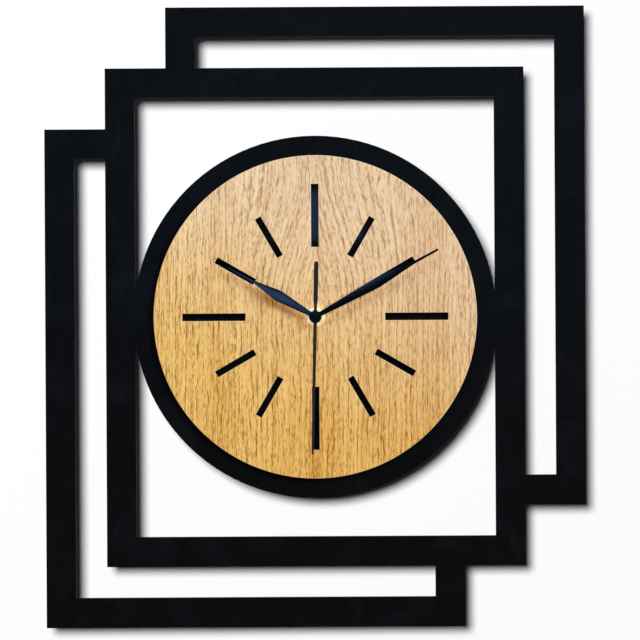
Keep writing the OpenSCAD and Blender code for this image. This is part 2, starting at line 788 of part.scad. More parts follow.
module intermediate_wheel() color("#e8e4da") wheel_pair(inter_at, inter_wheel_z, inter_teeth, rotor_m,
    inter_pinion_teeth, inter_m, inter_pinion_phase, second_wheel_z + wheel_t + pinion_over);

module small_arbor(at, end_z) in_case() translate([at[0], at[1], pivot_z])
    cylinder(r = arbor_r, h = end_z - pivot_z);

module third_arbor() color("#c9ccd0") small_arbor(third_at, post_z + pivot_l);

module intermediate_arbor() color("#c9ccd0") small_arbor(inter_at, post_z + pivot_l);

module rotor_pinion() color("#3f6fb0") {
    small_arbor(rotor_at, rotor_post_z + pivot_l);
    in_case() translate([rotor_at[0], rotor_at[1], 0]) {
        pinion_z = inter_wheel_z - pinion_over + seat_gap;
        translate([0, 0, pinion_z]) rotate(rotor_phase)
            gear(rotor_teeth, rotor_m, pinion_shift, magnet_z - pinion_z);
        translate([0, 0, magnet_z]) cylinder(r = rotor_hub_r, h = magnet_h);
    }
}

module rotor_magnet() color("#55575c") in_case() translate([rotor_at[0], rotor_at[1], magnet_z])
    ring(magnet_r, rotor_hub_r + press_gap, magnet_h);

module motion_wheel() color("#e8e4da") in_case() translate(motion_at) difference() {
    union() {
        translate([0, 0, motion_wheel_z]) rotate(motion_phase)
            gear(motion_teeth, cannon_m, -pinion_shift, wheel_t);
        translate([0, 0, motion_wheel_z])
            gear(motion_pinion_teeth, motion_m, pinion_shift, motion_end_z - motion_wheel_z);
    }
    cylinder(r = stud_r + running_gap, h = case_depth);
}

module setting_knob() color("#2b2c30") in_case() translate([setting_at[0], setting_at[1], knob_sink])
    difference() {
        notch_w = PI * knob_r / knob_notches / 2;
        cylinder(r = knob_r, h = knob_h);
        for (k = [0 : knob_notches - 1])
            rotate(k * 360 / knob_notches) translate([knob_r, 0, -through])
                slab(notch_w, notch_w, knob_h - well_floor_t / 2 + through);
    }

module setting_pinion() color("#e8e4da") in_case() translate([setting_at[0], setting_at[1], 0]) {
    shaft_z = knob_sink + knob_h;
    translate([0, 0, shaft_z]) cylinder(r = setting_shaft_r, h = setting_post_z + pivot_l - shaft_z);
    translate([0, 0, motion_wheel_z - pinion_over]) rotate(setting_phase)
        gear(setting_teeth, setting_m, pinion_shift, wheel_t + 2 * pinion_over);
}

// Stator plate with its rotor hole, arms to both sides and a leg up to each end of the coil
module stator() color("#8d9196") in_case() translate([0, 0, stator_z]) difference() {
    union() {
        translate(rotor_at) cylinder(r = pole_r, h = stator_t);
        span([left_leg_x, rotor_at[1], 0], [rotor_at[0], rotor_at[1] + arm_w, stator_t]);
        span([rotor_at[0], rotor_at[1] - arm_w / 2, 0],
            [right_leg_x + leg_w, rotor_at[1] + arm_w / 2, stator_t]);
        span([left_leg_x, rotor_at[1], 0], [left_leg_x + leg_w, leg_top_y, stator_t]);
        span([right_leg_x, rotor_at[1] - arm_w / 2, 0], [right_leg_x + leg_w, leg_top_y, stator_t]);
    }
    translate([rotor_at[0], rotor_at[1], -through])
        cylinder(r = magnet_r + air_gap, h = stator_t + 2 * through);
    leg_pin_holes();
}

module leg_pin_holes() for (x = [left_leg_x + leg_w / 2, right_leg_x + leg_w / 2])
    translate([x, leg_pin_y, -through]) cylinder(r = pin_hole_r, h = stator_t + 2 * through);

module coil_core() color("#8d9196") in_case() translate([0, 0, core_z]) difference() {
    span([left_leg_x, coil_y - leg_w / 2, 0], [right_leg_x + leg_w, coil_y + leg_w / 2, stator_t]);
    leg_pin_holes();
}

// Turns a shape drawn along z into one along x, on the coil's axis
module on_coil() in_case() translate([bobbin_x, coil_y, coil_z]) rotate([0, 90, 0]) children();

module coil_bobbin() color("#d8d2c4") difference() {
    union() {
        on_coil() {
            cylinder(r = barrel_r, h = bobbin_l);
            cylinder(r = flange_r, h = flange_t);
            translate([0, 0, bobbin_l - flange_t]) cylinder(r = flange_r, h = flange_t);
        }
        in_case() span(
            [bobbin_x + bobbin_l - flange_t, lead_high_y - block_h, pcb_front_z - block_t],
            [inner_x - loose_gap, lead_high_y, pcb_front_z]);
    }
    in_case() span(
        [bobbin_x - through, coil_y - leg_w / 2 - seat_gap, core_z - seat_gap],
        [bobbin_x + bobbin_l + through, coil_y + leg_w / 2 + seat_gap, core_z + stator_t + seat_gap]);
}

module coil_winding() color("#b5652b") on_coil() translate([0, 0, flange_t])
    ring(winding_r, barrel_r + press_gap, bobbin_l - 2 * flange_t);

module coil_leads() color("#b5652b") in_case()
    for (x = lead_xs)
        translate([x, lead_high_y, pcb_front_z + seat_gap + lead_r]) rotate([90, 0, 0])
            cylinder(r = lead_r, h = lead_high_y - lead_low_y);

module circuit_board() color("#2f6b3c") in_case() difference() {
    span([pcb_x, pcb_y, pcb_z], [pcb_x + pcb_w, pcb_y + pcb_h, pcb_front_z]);
    for (y = pcb_post_ys)
        translate([pcb_post_x, y, pcb_z - through]) cylinder(r = pin_hole_r, h = pcb_t + 2 * through);
}

module chip() color("#151515") in_case() translate([chip_at[0], chip_at[1], pcb_front_z])
    cylinder(r = chip_r, h = chip_h);

module quartz_crystal() color("#c9ccd0") in_case()
    translate([crystal_x, pcb_y + pcb_h / 2 - crystal_l / 2, pcb_front_z + seat_gap + crystal_r])
        rotate([-90, 0, 0]) cylinder(r = crystal_r, h = crystal_l);

// End plate of a contact at the wall on one side of the battery bay
module contact_plate(side) {
    xs = side < 0 ? [-plate_in_x - contact_t, -plate_in_x] : [plate_in_x, plate_in_x + contact_t];
    span([xs[0], cell_y - plate_w / 2, cell_z - plate_w / 2],
        [xs[1], cell_y + plate_w / 2, cell_z + plate_w / 2]);
}

module contact_positive() color("#c9ccd0") in_case() {
    wall_x = -plate_in_x - contact_t;
    tab_x = pcb_x + tab_inset;
    contact_plate(-1);
    span([wall_x, cell_y, strip_z], [-plate_in_x, strip_y + contact_t, strip_z + strip_w]);
    span([wall_x, strip_y, strip_z], [tab_x + tab_w, strip_y + contact_t, strip_z + strip_w]);
    span([tab_x, strip_y, pcb_front_z + seat_gap], [tab_x + tab_w, strip_y + contact_t, strip_z + strip_w]);
    span([tab_x, strip_y, pcb_front_z + seat_gap],
        [tab_x + tab_w, pcb_y + tab_w, pcb_front_z + seat_gap + contact_t]);
}

module contact_negative() color("#c9ccd0") in_case() {
    wall_x = plate_in_x + contact_t;
    tab_z = pcb_front_z + seat_gap;
    tip_x = cell_end_x + seat_gap;
    contact_plate(1);
    span([plate_in_x, cell_y, strip_z], [wall_x, strip_y + contact_t, strip_z + strip_w]);
    span([plate_in_x, strip_y, tab_z], [wall_x, pcb_y + tab_w, strip_z + strip_w]);
    span([wall_x - 2 * tab_w, pcb_y, tab_z], [wall_x, pcb_y + tab_w, tab_z + contact_t]);
    // Bent leaf that presses on the cell's flat end
    translate([0, cell_y, cell_z - leaf_w / 2]) linear_extrude(leaf_w) polygon([
        [plate_in_x, -leaf_half],
        [plate_in_x, -leaf_half - leaf_t],
        [tip_x, -leaf_t],
        [tip_x, leaf_t],
        [plate_in_x, leaf_half + leaf_t],
        [plate_in_x, leaf_half],
        [tip_x + leaf_t, 0]
    ]);
}

// Turns a shape drawn along z into one along the cell, which stays round at every size of the case
module on_cell(x) in_case() translate([x, cell_y, cell_z]) scale([1, 1, case_fit])
    rotate([0, 90, 0]) children();

module cell_can() color("#c9ccd0") union() {
    on_cell(can_x) cylinder(r = cell_r - sleeve_t - press_gap, h = cell_end_x - can_x);
    on_cell(nub_x) cylinder(r = nub_r, h = nub_h + through);
}

module cell_sleeve() color("#3b5d4a") on_cell(can_x + sleeve_t)
    ring(cell_r, cell_r - sleeve_t, cell_end_x - can_x - 2 * sleeve_t);

frame_board();
oak_dial();
gasket();
threaded_bush();
dial_washer();
dial_nut();
movement_case();
front_cover();
hour_hand();
hour_collet();
hour_wheel();
minute_hand();
minute_collet();
minute_tube();
centre_wheel();
clutch_spring();
second_hand();
second_collet();
second_cap();
second_arbor();
second_wheel();
third_wheel();
third_arbor();
intermediate_wheel();
intermediate_arbor();
rotor_pinion();
rotor_magnet();
motion_wheel();
setting_knob();
setting_pinion();
stator();
coil_core();
coil_bobbin();
coil_winding();
coil_leads();
circuit_board();
chip();
quartz_crystal();
contact_positive();
contact_negative();
cell_can();
cell_sleeve();
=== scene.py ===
# %% [markdown]
# # A wall clock of staggered frames
# The real clock is one black sheet cut into three stepped frames with a disc in the middle, an oak dial on
# that disc, three black hands, and a quartz movement behind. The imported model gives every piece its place.
# This lesson dresses that model for the eye, piece by piece, and never moves it.

# %% Load the frame
import math
import bmesh
import bpy
from mathutils import Matrix, Vector


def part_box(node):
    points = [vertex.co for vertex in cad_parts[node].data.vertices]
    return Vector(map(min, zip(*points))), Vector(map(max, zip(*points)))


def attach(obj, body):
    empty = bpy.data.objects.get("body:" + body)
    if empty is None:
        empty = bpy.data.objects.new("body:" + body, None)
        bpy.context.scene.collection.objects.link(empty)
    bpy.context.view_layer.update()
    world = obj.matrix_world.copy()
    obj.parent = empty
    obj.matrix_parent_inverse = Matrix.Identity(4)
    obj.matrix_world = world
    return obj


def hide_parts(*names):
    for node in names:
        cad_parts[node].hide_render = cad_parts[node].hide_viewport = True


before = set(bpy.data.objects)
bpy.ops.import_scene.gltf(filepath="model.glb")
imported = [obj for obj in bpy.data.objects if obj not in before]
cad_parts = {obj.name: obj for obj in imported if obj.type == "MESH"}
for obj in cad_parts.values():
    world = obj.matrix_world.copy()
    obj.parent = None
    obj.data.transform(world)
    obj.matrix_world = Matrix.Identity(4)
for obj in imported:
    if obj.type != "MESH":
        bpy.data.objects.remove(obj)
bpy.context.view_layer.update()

# %% [markdown]
# ## Drawing as seen from the front
# Clock makers draw a clock as it hangs: x to the right, y up, and z from the wall to the viewer, in
# millimetres. Blender works in metres with Z up. One matrix turns the drawing into the scene, so every piece
# below can be drawn the maker's way and its place ends up in its mesh.

# %% From the drawing to the scene
MM = 0.001
HANG = Matrix.Rotation(math.radians(90), 4, "X") @ Matrix.Scale(MM, 4)
SHARP_ANGLE = math.radians(50)


def make_piece(bm, name, body, finish, node, drawn=True):
    """Turns a bmesh into an object that rides on a body and stands for a CAD node."""
    if drawn:
        bmesh.ops.transform(bm, matrix=HANG, verts=bm.verts)
    mesh = bpy.data.meshes.new(name)
    bm.to_mesh(mesh)
    bm.free()
    mesh.shade_smooth()
    mesh.set_sharp_from_angle(angle=SHARP_ANGLE)
    mesh.materials.append(finish)
    piece = bpy.data.objects.new(name, mesh)
    bpy.context.scene.collection.objects.link(piece)
    # Large faces decide the normals, so that a rounded edge doesn't bend the light on a flat sheet
    piece.modifiers.new("flat_faces", "WEIGHTED_NORMAL").keep_sharp = True
    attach(piece, body)
    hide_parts(node)
    print(name, "has", len(mesh.polygons), "faces")


# %% [markdown]
# ## Camera
# The photograph looks straight at the dial and hardly shows the thickness of the bars, even at the corners.
# So the camera stands well back, here 2.2 m from the board, behind a long lens. It aims 2.65 mm to the right
# of the dial's centre and 1.8 mm below it, and is rolled by a third of a degree.

# %% Camera
BOARD_FRONT = 22.5 * MM
DISTANCE = 2.2
FIELD_WIDTH = 0.3606
SENSOR_WIDTH = 36
AIM_RIGHT, AIM_UP = 2.65 * MM, -1.8 * MM
ROLL = 0.3

lens = bpy.data.cameras.new("camera")
lens.sensor_width = SENSOR_WIDTH
lens.lens = SENSOR_WIDTH * DISTANCE / FIELD_WIDTH
camera = bpy.data.objects.new("camera", lens)
bpy.context.scene.collection.objects.link(camera)
camera.location = (AIM_RIGHT, -BOARD_FRONT - DISTANCE, AIM_UP)
camera.rotation_euler = (math.radians(90), math.radians(ROLL), 0)
bpy.context.scene.camera = camera
print("lens", round(lens.lens, 1), "mm at", DISTANCE, "m")

# %% [markdown]
# ## Colours and nodes
# Colours are written as they look on a screen and turned to linear light by one function. One small
# function adds a node, sets it and links it. Every finish starts from Object coordinates in millimetres, so
# that the size of a grain or a scratch can be written as it is measured, and ends with its colour, roughness
# and relief wired to the shader.

# %% Helpers for finishes
def linear(code):
    """An sRGB hex colour as linear red, green, blue and alpha."""
    parts = [int(code[i:i + 2], 16) / 255 for i in (1, 3, 5)]
    return tuple(c / 12.92 if c <= 0.04045 else ((c + 0.055) / 1.055) ** 2.4 for c in parts) + (1.0,)


def add_node(tree, kind, inputs=None, **settings):
    """Adds one node. Inputs are values, or outputs of other nodes."""
    node = tree.nodes.new(kind)
    for key, value in settings.items():
        setattr(node, key, value)
    for key, value in (inputs or {}).items():
        if isinstance(value, bpy.types.NodeSocket):
            tree.links.new(value, node.inputs[key])
        else:
            node.inputs[key].default_value = value
    return node


def start_finish(name, **constants):
    """A material with its shader, and its Object coordinates in millimetres."""
    finish = bpy.data.materials.new(name)
    finish.use_nodes = True
    tree = finish.node_tree
    shader = tree.nodes["Principled BSDF"]
    for key, value in constants.items():
        shader.inputs[key.replace("_", " ")].default_value = value
    place = add_node(tree, "ShaderNodeTexCoord").outputs["Object"]
    place = add_node(tree, "ShaderNodeVectorMath", {0: place, "Scale": 1 / MM}, operation="SCALE").outputs[0]
    print("finish", name)
    return finish, tree, shader, place


def wire(tree, shader, colour, rough, relief=None, strength=0.3, depth=0.0):
    """Wires a finish's colour, roughness and relief, with its depth in millimetres, to the shader."""
    tree.links.new(colour, shader.inputs["Base Color"])
    tree.links.new(rough, shader.inputs["Roughness"])
    if relief is not None:
        bump = add_node(tree, "ShaderNodeBump", {"Height": relief, "Strength": strength,
                                                 "Distance": depth * MM}).outputs[0]
        tree.links.new(bump, shader.inputs["Normal"])


# %% [markdown]
# ## Black stained board
# The frames are one sheet of thin board, sprayed matt black over a stain. Its lacquer is flat enough to
# drink the light, but faint upright grain, wipe marks and hair scratches still show. Each starts from a
# noise, and stretching it is what gives the grain its direction.

# %% Finish of the board: grain and wear
# Sprayed matt lacquer on a stained sheet: almost no highlight, and rubbed streaks along the grain.
board_black, tree, shader, place = start_finish(
    "sprayed_black_board", Specular_IOR_Level=0.04, Coat_Roughness=0.03, Coat_IOR=1.5)
axes = add_node(tree, "ShaderNodeSeparateXYZ", {0: place}).outputs
# Grain about 1.5 mm wide and 45 mm long, coarser than real pores so that it shows
grain_place = add_node(tree, "ShaderNodeMapping", {"Vector": place, "Scale": (0.62, 0.62, 0.022)}).outputs[0]
grain = add_node(tree, "ShaderNodeTexNoise", {"Vector": grain_place, "Scale": 1.0, "Detail": 5.0,
                                              "Roughness": 0.6, "Distortion": 0.4}).outputs[0]
# Wipe marks in clouds about 35 mm across
cloud = add_node(tree, "ShaderNodeTexNoise", {"Vector": place, "Scale": 0.028, "Detail": 4.0,
                                              "Roughness": 0.55, "Distortion": 1.2}).outputs[0]
# Hair scratches run upright about 22 mm apart and wander, and show only where the board has been rubbed
hair_place = add_node(tree, "ShaderNodeMapping", {"Vector": place, "Scale": (0.03, 0.0, 0.035)}).outputs[0]
hair = add_node(tree, "ShaderNodeTexNoise", {"Vector": hair_place, "Scale": 1.0, "Detail": 4.0,
                                             "Roughness": 0.6}).outputs[0]
hair = add_node(tree, "ShaderNodeMath", {0: axes["X"], 1: 0.045, 2: hair},
                operation="MULTIPLY_ADD").outputs[0]
hair = add_node(tree, "ShaderNodeMath", {0: hair}, operation="FRACT").outputs[0]
hair = add_node(tree, "ShaderNodeMath", {0: hair, 1: 0.5, 2: 0.007}, operation="COMPARE").outputs[0]
rubbed = add_node(tree, "ShaderNodeMapRange", {"Value": cloud, "From Min": 0.48,
                                               "From Max": 0.72}).outputs[0]
hair = add_node(tree, "ShaderNodeMath", {0: hair, 1: rubbed}, operation="MULTIPLY").outputs[0]
worn = add_node(tree, "ShaderNodeMath", {0: rubbed, 1: 0.3, 2: hair}, operation="MULTIPLY_ADD",
                use_clamp=True).outputs[0]

# %% [markdown]
# The black itself is a mix of a deep tone and an open-grain tone, both painted a shade colder towards the top
# as a painted reflection of cool light from above. Under the dial nobody has rubbed the lacquer, so there it
# keeps a gloss, and the hour slots show that gloss.

# %% Finish of the board: colour and gloss
# Painted reflection of cool light from above: both tones turn colder towards the top
height = add_node(tree, "ShaderNodeMapRange", {"Value": axes["Z"], "From Min": -120.0,
                                               "From Max": 120.0}).outputs[0]
deep = add_node(tree, "ShaderNodeMix", {0: height, 6: linear("#010101"), 7: linear("#010204")},
                data_type="RGBA").outputs[2]
open_grain = add_node(tree, "ShaderNodeMix", {0: height, 6: linear("#080809"), 7: linear("#0d1117")},
                      data_type="RGBA").outputs[2]
stain = add_node(tree, "ShaderNodeMix", {0: grain, 6: deep, 7: open_grain}, data_type="RGBA").outputs[2]
stain = add_node(tree, "ShaderNodeMix", {0: worn, 6: stain, 7: linear("#1c1f25")},
                 data_type="RGBA").outputs[2]
rough = add_node(tree, "ShaderNodeMapRange", {"Value": cloud, "From Min": 0.3, "From Max": 0.7,
                                              "To Min": 0.62, "To Max": 0.82}).outputs[0]
wire(tree, shader, stain, rough, grain, strength=0.35, depth=0.06)
# The gloss lies inside the dial's rim, on the front half of the sheet
flat_place = add_node(tree, "ShaderNodeMapping", {"Vector": place, "Scale": (1.0, 0.0, 1.0)}).outputs[0]
from_axis = add_node(tree, "ShaderNodeVectorMath", {0: flat_place}, operation="LENGTH").outputs["Value"]
gloss = add_node(tree, "ShaderNodeMapRange", {"Value": from_axis, "From Min": 90.0, "From Max": 90.8,
                                              "To Min": 0.47, "To Max": 0.0}).outputs[0]
front = add_node(tree, "ShaderNodeMath", {0: axes["Y"], 1: -20.0}, operation="LESS_THAN").outputs[0]
gloss = add_node(tree, "ShaderNodeMath", {0: gloss, 1: front}, operation="MULTIPLY").outputs[0]
tree.links.new(gloss, shader.inputs["Coat Weight"])

# %% [markdown]
# ## The board
# A sheet cut by a laser has square edges that the spray rounds a little. The CAD node already has the
# outline, so a merged copy of it only needs its corners broken: dissolve the flat triangles, pick the sharp
# edges and bevel them by a quarter of a millimetre, which is what lets an edge catch light.

# %% Board
BOARD_EDGE = 0.25 * MM


def copy_node(name):
    """A merged copy of a CAD node, with flat triangles joined into whole faces."""
    bm = bmesh.new()
    bm.from_mesh(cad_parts[name].data)
    bmesh.ops.remove_doubles(bm, verts=bm.verts, dist=0.002 * MM)
    bmesh.ops.dissolve_limit(bm, angle_limit=math.radians(0.5), verts=bm.verts, edges=bm.edges)
    return bm


def break_edges(bm, width, angle=50, segments=2):
    """Rounds every edge that turns by more than the angle."""
    limit = math.radians(angle)
    sharp = [e for e in bm.edges if len(e.link_faces) == 2 and e.calc_face_angle() > limit]
    bmesh.ops.bevel(bm, geom=sharp, offset=width, offset_type="OFFSET", segments=segments, profile=0.5,
                    affect="EDGES", material=-1, clamp_overlap=False)


bm = copy_node("frame_board")
break_edges(bm, BOARD_EDGE)
make_piece(bm, "stained_board", "clock", board_black, "frame_board", drawn=False)

# %% [markdown]
# ## Oak veneer
# The dial is plain-sawn oak. A line up the middle stands for the pith, and the growth rings run upright on
# both sides of it. Around the 12 they lean together like the sides of an arch. So each point is given a
# distance from the pith line that grows with its height, and rings, fibres and pores are drawn along that.

# %% Finish of the oak: growth rings
# Veneer under a thin matt oil: a low, soft highlight.
oak, tree, shader, place = start_finish("oiled_oak_veneer", Specular_IOR_Level=0.22)
axes = add_node(tree, "ShaderNodeSeparateXYZ", {0: place}).outputs
# The pith line wanders by up to 3 mm over about 60 mm
sway_place = add_node(tree, "ShaderNodeMapping", {"Vector": place, "Scale": (0.02, 1.0, 0.014)}).outputs[0]
sway = add_node(tree, "ShaderNodeTexNoise", {"Vector": sway_place, "Scale": 1.0, "Detail": 1.0}).outputs[0]
sway = add_node(tree, "ShaderNodeMapRange", {"Value": sway, "To Min": -3.0, "To Max": 3.0}).outputs[0]
across = add_node(tree, "ShaderNodeMath", {0: axes["X"], 1: sway}, operation="ADD").outputs[0]
# Near the pith line the grain leans in by up to 15 mm at the top, and 60 mm away it stands upright
rise = add_node(tree, "ShaderNodeMapRange", {"Value": axes["Z"], "From Min": 5.0, "From Max": 88.0,
                                             "To Max": 15.0}, interpolation_type="SMOOTHSTEP").outputs[0]
far = add_node(tree, "ShaderNodeMath", {0: across}, operation="ABSOLUTE").outputs[0]
near = add_node(tree, "ShaderNodeMapRange", {"Value": far, "From Min": 10.0, "From Max": 60.0, "To Min": 1.0,
                                             "To Max": 0.0}, interpolation_type="SMOOTHSTEP").outputs[0]
lean = add_node(tree, "ShaderNodeMath", {0: rise, 1: near}, operation="MULTIPLY").outputs[0]
side = add_node(tree, "ShaderNodeMath", {0: across}, operation="SIGN").outputs[0]
across = add_node(tree, "ShaderNodeMath", {0: side, 1: lean, 2: across}, operation="MULTIPLY_ADD").outputs[0]
along_grain = add_node(tree, "ShaderNodeCombineXYZ", {"X": across, "Y": axes["Y"],
                                                      "Z": axes["Z"]}).outputs[0]
# Rings are about 3 mm wide but uneven, and the first half of each is the porous early wood
wobble_place = add_node(tree, "ShaderNodeMapping", {"Vector": place, "Scale": (0.12, 1.0, 0.06)}).outputs[0]
wobble = add_node(tree, "ShaderNodeTexNoise", {"Vector": wobble_place, "Scale": 1.0,
                                               "Detail": 3.0}).outputs[0]
wobble = add_node(tree, "ShaderNodeMapRange", {"Value": wobble, "To Min": -2.5, "To Max": 2.5}).outputs[0]
ring = add_node(tree, "ShaderNodeMath", {0: across}, operation="ABSOLUTE").outputs[0]
ring = add_node(tree, "ShaderNodeMath", {0: ring, 1: wobble}, operation="ADD").outputs[0]
ring_part = add_node(tree, "ShaderNodeMath", {0: ring, 1: 3.0}, operation="DIVIDE").outputs[0]
ring_part = add_node(tree, "ShaderNodeMath", {0: ring_part}, operation="FRACT").outputs[0]
early = add_node(tree, "ShaderNodeMapRange", {"Value": ring_part, "From Min": 0.0, "From Max": 0.55,
                                              "To Min": 1.0, "To Max": 0.0},
                 interpolation_type="SMOOTHSTEP").outputs[0]

# %% [markdown]
# Oak is ring-porous: each ring starts with a band of open pores, which a cut along the grain opens into
# short dark dashes. One noise stretched a lot gives the fibres, another stretched less gives the dashes, and
# a third follows the rings.

# %% Finish of the oak: fibres and pores
# Fibres are lines about 0.7 mm wide and 60 mm long
fibre_place = add_node(tree, "ShaderNodeMapping", {"Vector": along_grain,
                                                   "Scale": (1.5, 1.0, 0.015)}).outputs[0]
fibre = add_node(tree, "ShaderNodeTexNoise", {"Vector": fibre_place, "Scale": 1.0, "Detail": 2.0,
                                              "Roughness": 0.6}).outputs[0]
# Pores are dashes of 1 to 3 mm that favour the darker fibres, wider than real ones so that they show
dash_place = add_node(tree, "ShaderNodeMapping", {"Vector": along_grain,
                                                  "Scale": (1.9, 1.0, 0.36)}).outputs[0]
dash = add_node(tree, "ShaderNodeTexNoise", {"Vector": dash_place, "Scale": 1.0, "Detail": 2.0}).outputs[0]
short_pore = add_node(tree, "ShaderNodeMath", {0: fibre, 1: 0.6, 2: dash},
                      operation="MULTIPLY_ADD").outputs[0]
short_pore = add_node(tree, "ShaderNodeMapRange", {"Value": short_pore, "From Min": 0.82,
                                                   "From Max": 1.02}).outputs[0]
# Longer pores follow the early wood of the rings and draw the arches
arch_place = add_node(tree, "ShaderNodeCombineXYZ", {"X": ring, "Y": axes["X"], "Z": axes["Z"]}).outputs[0]
arch_place = add_node(tree, "ShaderNodeMapping", {"Vector": arch_place,
                                                  "Scale": (1.3, 0.35, 0.08)}).outputs[0]
long_pore = add_node(tree, "ShaderNodeTexNoise", {"Vector": arch_place, "Scale": 1.0, "Detail": 3.0,
                                                  "Roughness": 0.6}).outputs[0]
long_pore = add_node(tree, "ShaderNodeMath", {0: early, 1: 0.14, 2: long_pore},
                     operation="MULTIPLY_ADD").outputs[0]
long_pore = add_node(tree, "ShaderNodeMapRange", {"Value": long_pore, "From Min": 0.6,
                                                  "From Max": 0.78}).outputs[0]
pore = add_node(tree, "ShaderNodeMath", {0: short_pore, 1: 0.7, 2: long_pore}, operation="MULTIPLY_ADD",
                use_clamp=True).outputs[0]
fibre = add_node(tree, "ShaderNodeMapRange", {"Value": fibre, "From Min": 0.34, "From Max": 0.7}).outputs[0]
dash = add_node(tree, "ShaderNodeMapRange", {"Value": dash, "From Min": 0.34, "From Max": 0.7}).outputs[0]
# Broad lighter and darker bands, about 15 mm wide
band_place = add_node(tree, "ShaderNodeMapping", {"Vector": place, "Location": (5.0, 0.0, 0.0),
                                                  "Scale": (0.06, 1.0, 0.008)}).outputs[0]
band = add_node(tree, "ShaderNodeTexNoise", {"Vector": band_place, "Scale": 1.0, "Detail": 2.0}).outputs[0]

# %% [markdown]
# The oiled wood is painted a pinkish cream at the upper right and golden at the lower left: painted light,
# lit at the upper right and shaded at the lower left. Three tones, pale, tan and brown, each have a lit cream
# and a shaded golden version, and the patterns above choose between them. Two values stored in the mesh add
# the pale sanded edges and the brown scorch that a laser leaves on the slots' walls.

# %% Finish of the oak: colours
# Painted light: a lit pinkish cream at the upper right fading to a shaded gold at the lower left
slant = add_node(tree, "ShaderNodeMath", {0: axes["X"], 1: 0.5, 2: axes["Z"]},
                 operation="MULTIPLY_ADD").outputs[0]
painted_light_falloff = add_node(tree, "ShaderNodeMapRange", {"Value": slant, "From Min": -75.0, "From Max": 92.0,
                                               "To Min": 1.0, "To Max": 0.0},
                  interpolation_type="SMOOTHSTEP").outputs[0]
pale = add_node(tree, "ShaderNodeMix", {0: painted_light_falloff, 6: linear("#fde6c6"), 7: linear("#ffd782")},
                data_type="RGBA").outputs[2]
tan = add_node(tree, "ShaderNodeMix", {0: painted_light_falloff, 6: linear("#e8c094"), 7: linear("#e0a344")},
               data_type="RGBA").outputs[2]
brown = add_node(tree, "ShaderNodeMix", {0: painted_light_falloff, 6: linear("#ab875d"), 7: linear("#8f5c12")},
                 data_type="RGBA").outputs[2]
# Bands, fibres, dashes and early wood all darken the wood, and a painted shade makes it a little darker to
# the right
shade = add_node(tree, "ShaderNodeMath", {0: band, 1: 0.8, 2: -0.32}, operation="MULTIPLY_ADD").outputs[0]
shade = add_node(tree, "ShaderNodeMath", {0: fibre, 1: 0.6, 2: shade}, operation="MULTIPLY_ADD").outputs[0]
shade = add_node(tree, "ShaderNodeMath", {0: dash, 1: 0.4, 2: shade}, operation="MULTIPLY_ADD").outputs[0]
shade = add_node(tree, "ShaderNodeMath", {0: axes["X"], 1: 0.0022, 2: shade},
                 operation="MULTIPLY_ADD").outputs[0]
shade = add_node(tree, "ShaderNodeMath", {0: early, 1: 0.12, 2: shade}, operation="MULTIPLY_ADD",
                 use_clamp=True).outputs[0]
wood = add_node(tree, "ShaderNodeMix", {0: shade, 6: pale, 7: tan}, data_type="RGBA").outputs[2]
pore_dark = add_node(tree, "ShaderNodeMath", {0: pore, 1: 0.9}, operation="MULTIPLY").outputs[0]
wood = add_node(tree, "ShaderNodeMix", {0: pore_dark, 6: wood, 7: brown}, data_type="RGBA").outputs[2]
sanded = add_node(tree, "ShaderNodeAttribute", attribute_name="sanded").outputs["Fac"]
sanded = add_node(tree, "ShaderNodeMath", {0: sanded, 1: 1.5}, operation="POWER").outputs[0]
wood = add_node(tree, "ShaderNodeMix", {0: sanded, 6: wood, 7: linear("#f3d8b8")},
                data_type="RGBA").outputs[2]
scorched = add_node(tree, "ShaderNodeAttribute", attribute_name="scorched").outputs["Fac"]
scorched = add_node(tree, "ShaderNodeMath", {0: scorched, 1: 0.92}, operation="MULTIPLY").outputs[0]
wood = add_node(tree, "ShaderNodeMix", {0: scorched, 6: wood, 7: linear("#2f1e12")},
                data_type="RGBA").outputs[2]
rough = add_node(tree, "ShaderNodeMapRange", {"Value": pore, "To Min": 0.66, "To Max": 0.9}).outputs[0]
relief = add_node(tree, "ShaderNodeMath", {0: pore, 1: -1.0, 2: 1.0}, operation="MULTIPLY_ADD").outputs[0]
wire(tree, shader, wood, rough, relief, strength=0.25, depth=0.08)

# %% [markdown]
# ## The oak dial
# The dial is a 3 mm disc with a slot for each hour. Drawing only its outlines and letting Blender fill
# between them gives a face with real holes. A narrow inset then makes a border along every cut, whose outer
# edge is marked as sanded, an extrusion gives the sheet its thickness, and the slots' walls are marked as
# scorched.

# %% Oak dial
DIAL_BACK, DIAL_FRONT = 22.5, 25.5
DIAL_R, SHAFT_HOLE_R = 91.0, 3.9
SLOT_INNER_R = 39.4
LONG_SLOT, SHORT_SLOT = (35.4, 4.1), (24.9, 3.6)
SANDED_WIDTH, DIAL_EDGE = 0.4, 0.12

bm = bmesh.new()
bmesh.ops.create_circle(bm, segments=288, radius=DIAL_R)
bmesh.ops.create_circle(bm, segments=48, radius=SHAFT_HOLE_R)
for hour in range(12):
    length, width = SHORT_SLOT if hour % 3 else LONG_SLOT
    turn = Matrix.Rotation(math.radians(-30 * hour), 4, "Z")
    corners = [(-width / 2, SLOT_INNER_R), (width / 2, SLOT_INNER_R),
               (width / 2, SLOT_INNER_R + length), (-width / 2, SLOT_INNER_R + length)]
    verts = [bm.verts.new(turn @ Vector((x, y, 0))) for x, y in corners]
    for i in range(4):
        bm.edges.new((verts[i - 1], verts[i]))
bmesh.ops.triangle_fill(bm, use_beauty=True, edges=bm.edges[:], normal=(0, 0, 1))
sanded = bm.verts.layers.float.new("sanded")
bmesh.ops.inset_region(bm, faces=bm.faces[:], thickness=SANDED_WIDTH, use_even_offset=True,
                       use_boundary=True)
for vert in bm.verts:
    vert[sanded] = 1.0 if any(e.is_boundary for e in vert.link_edges) else 0.0
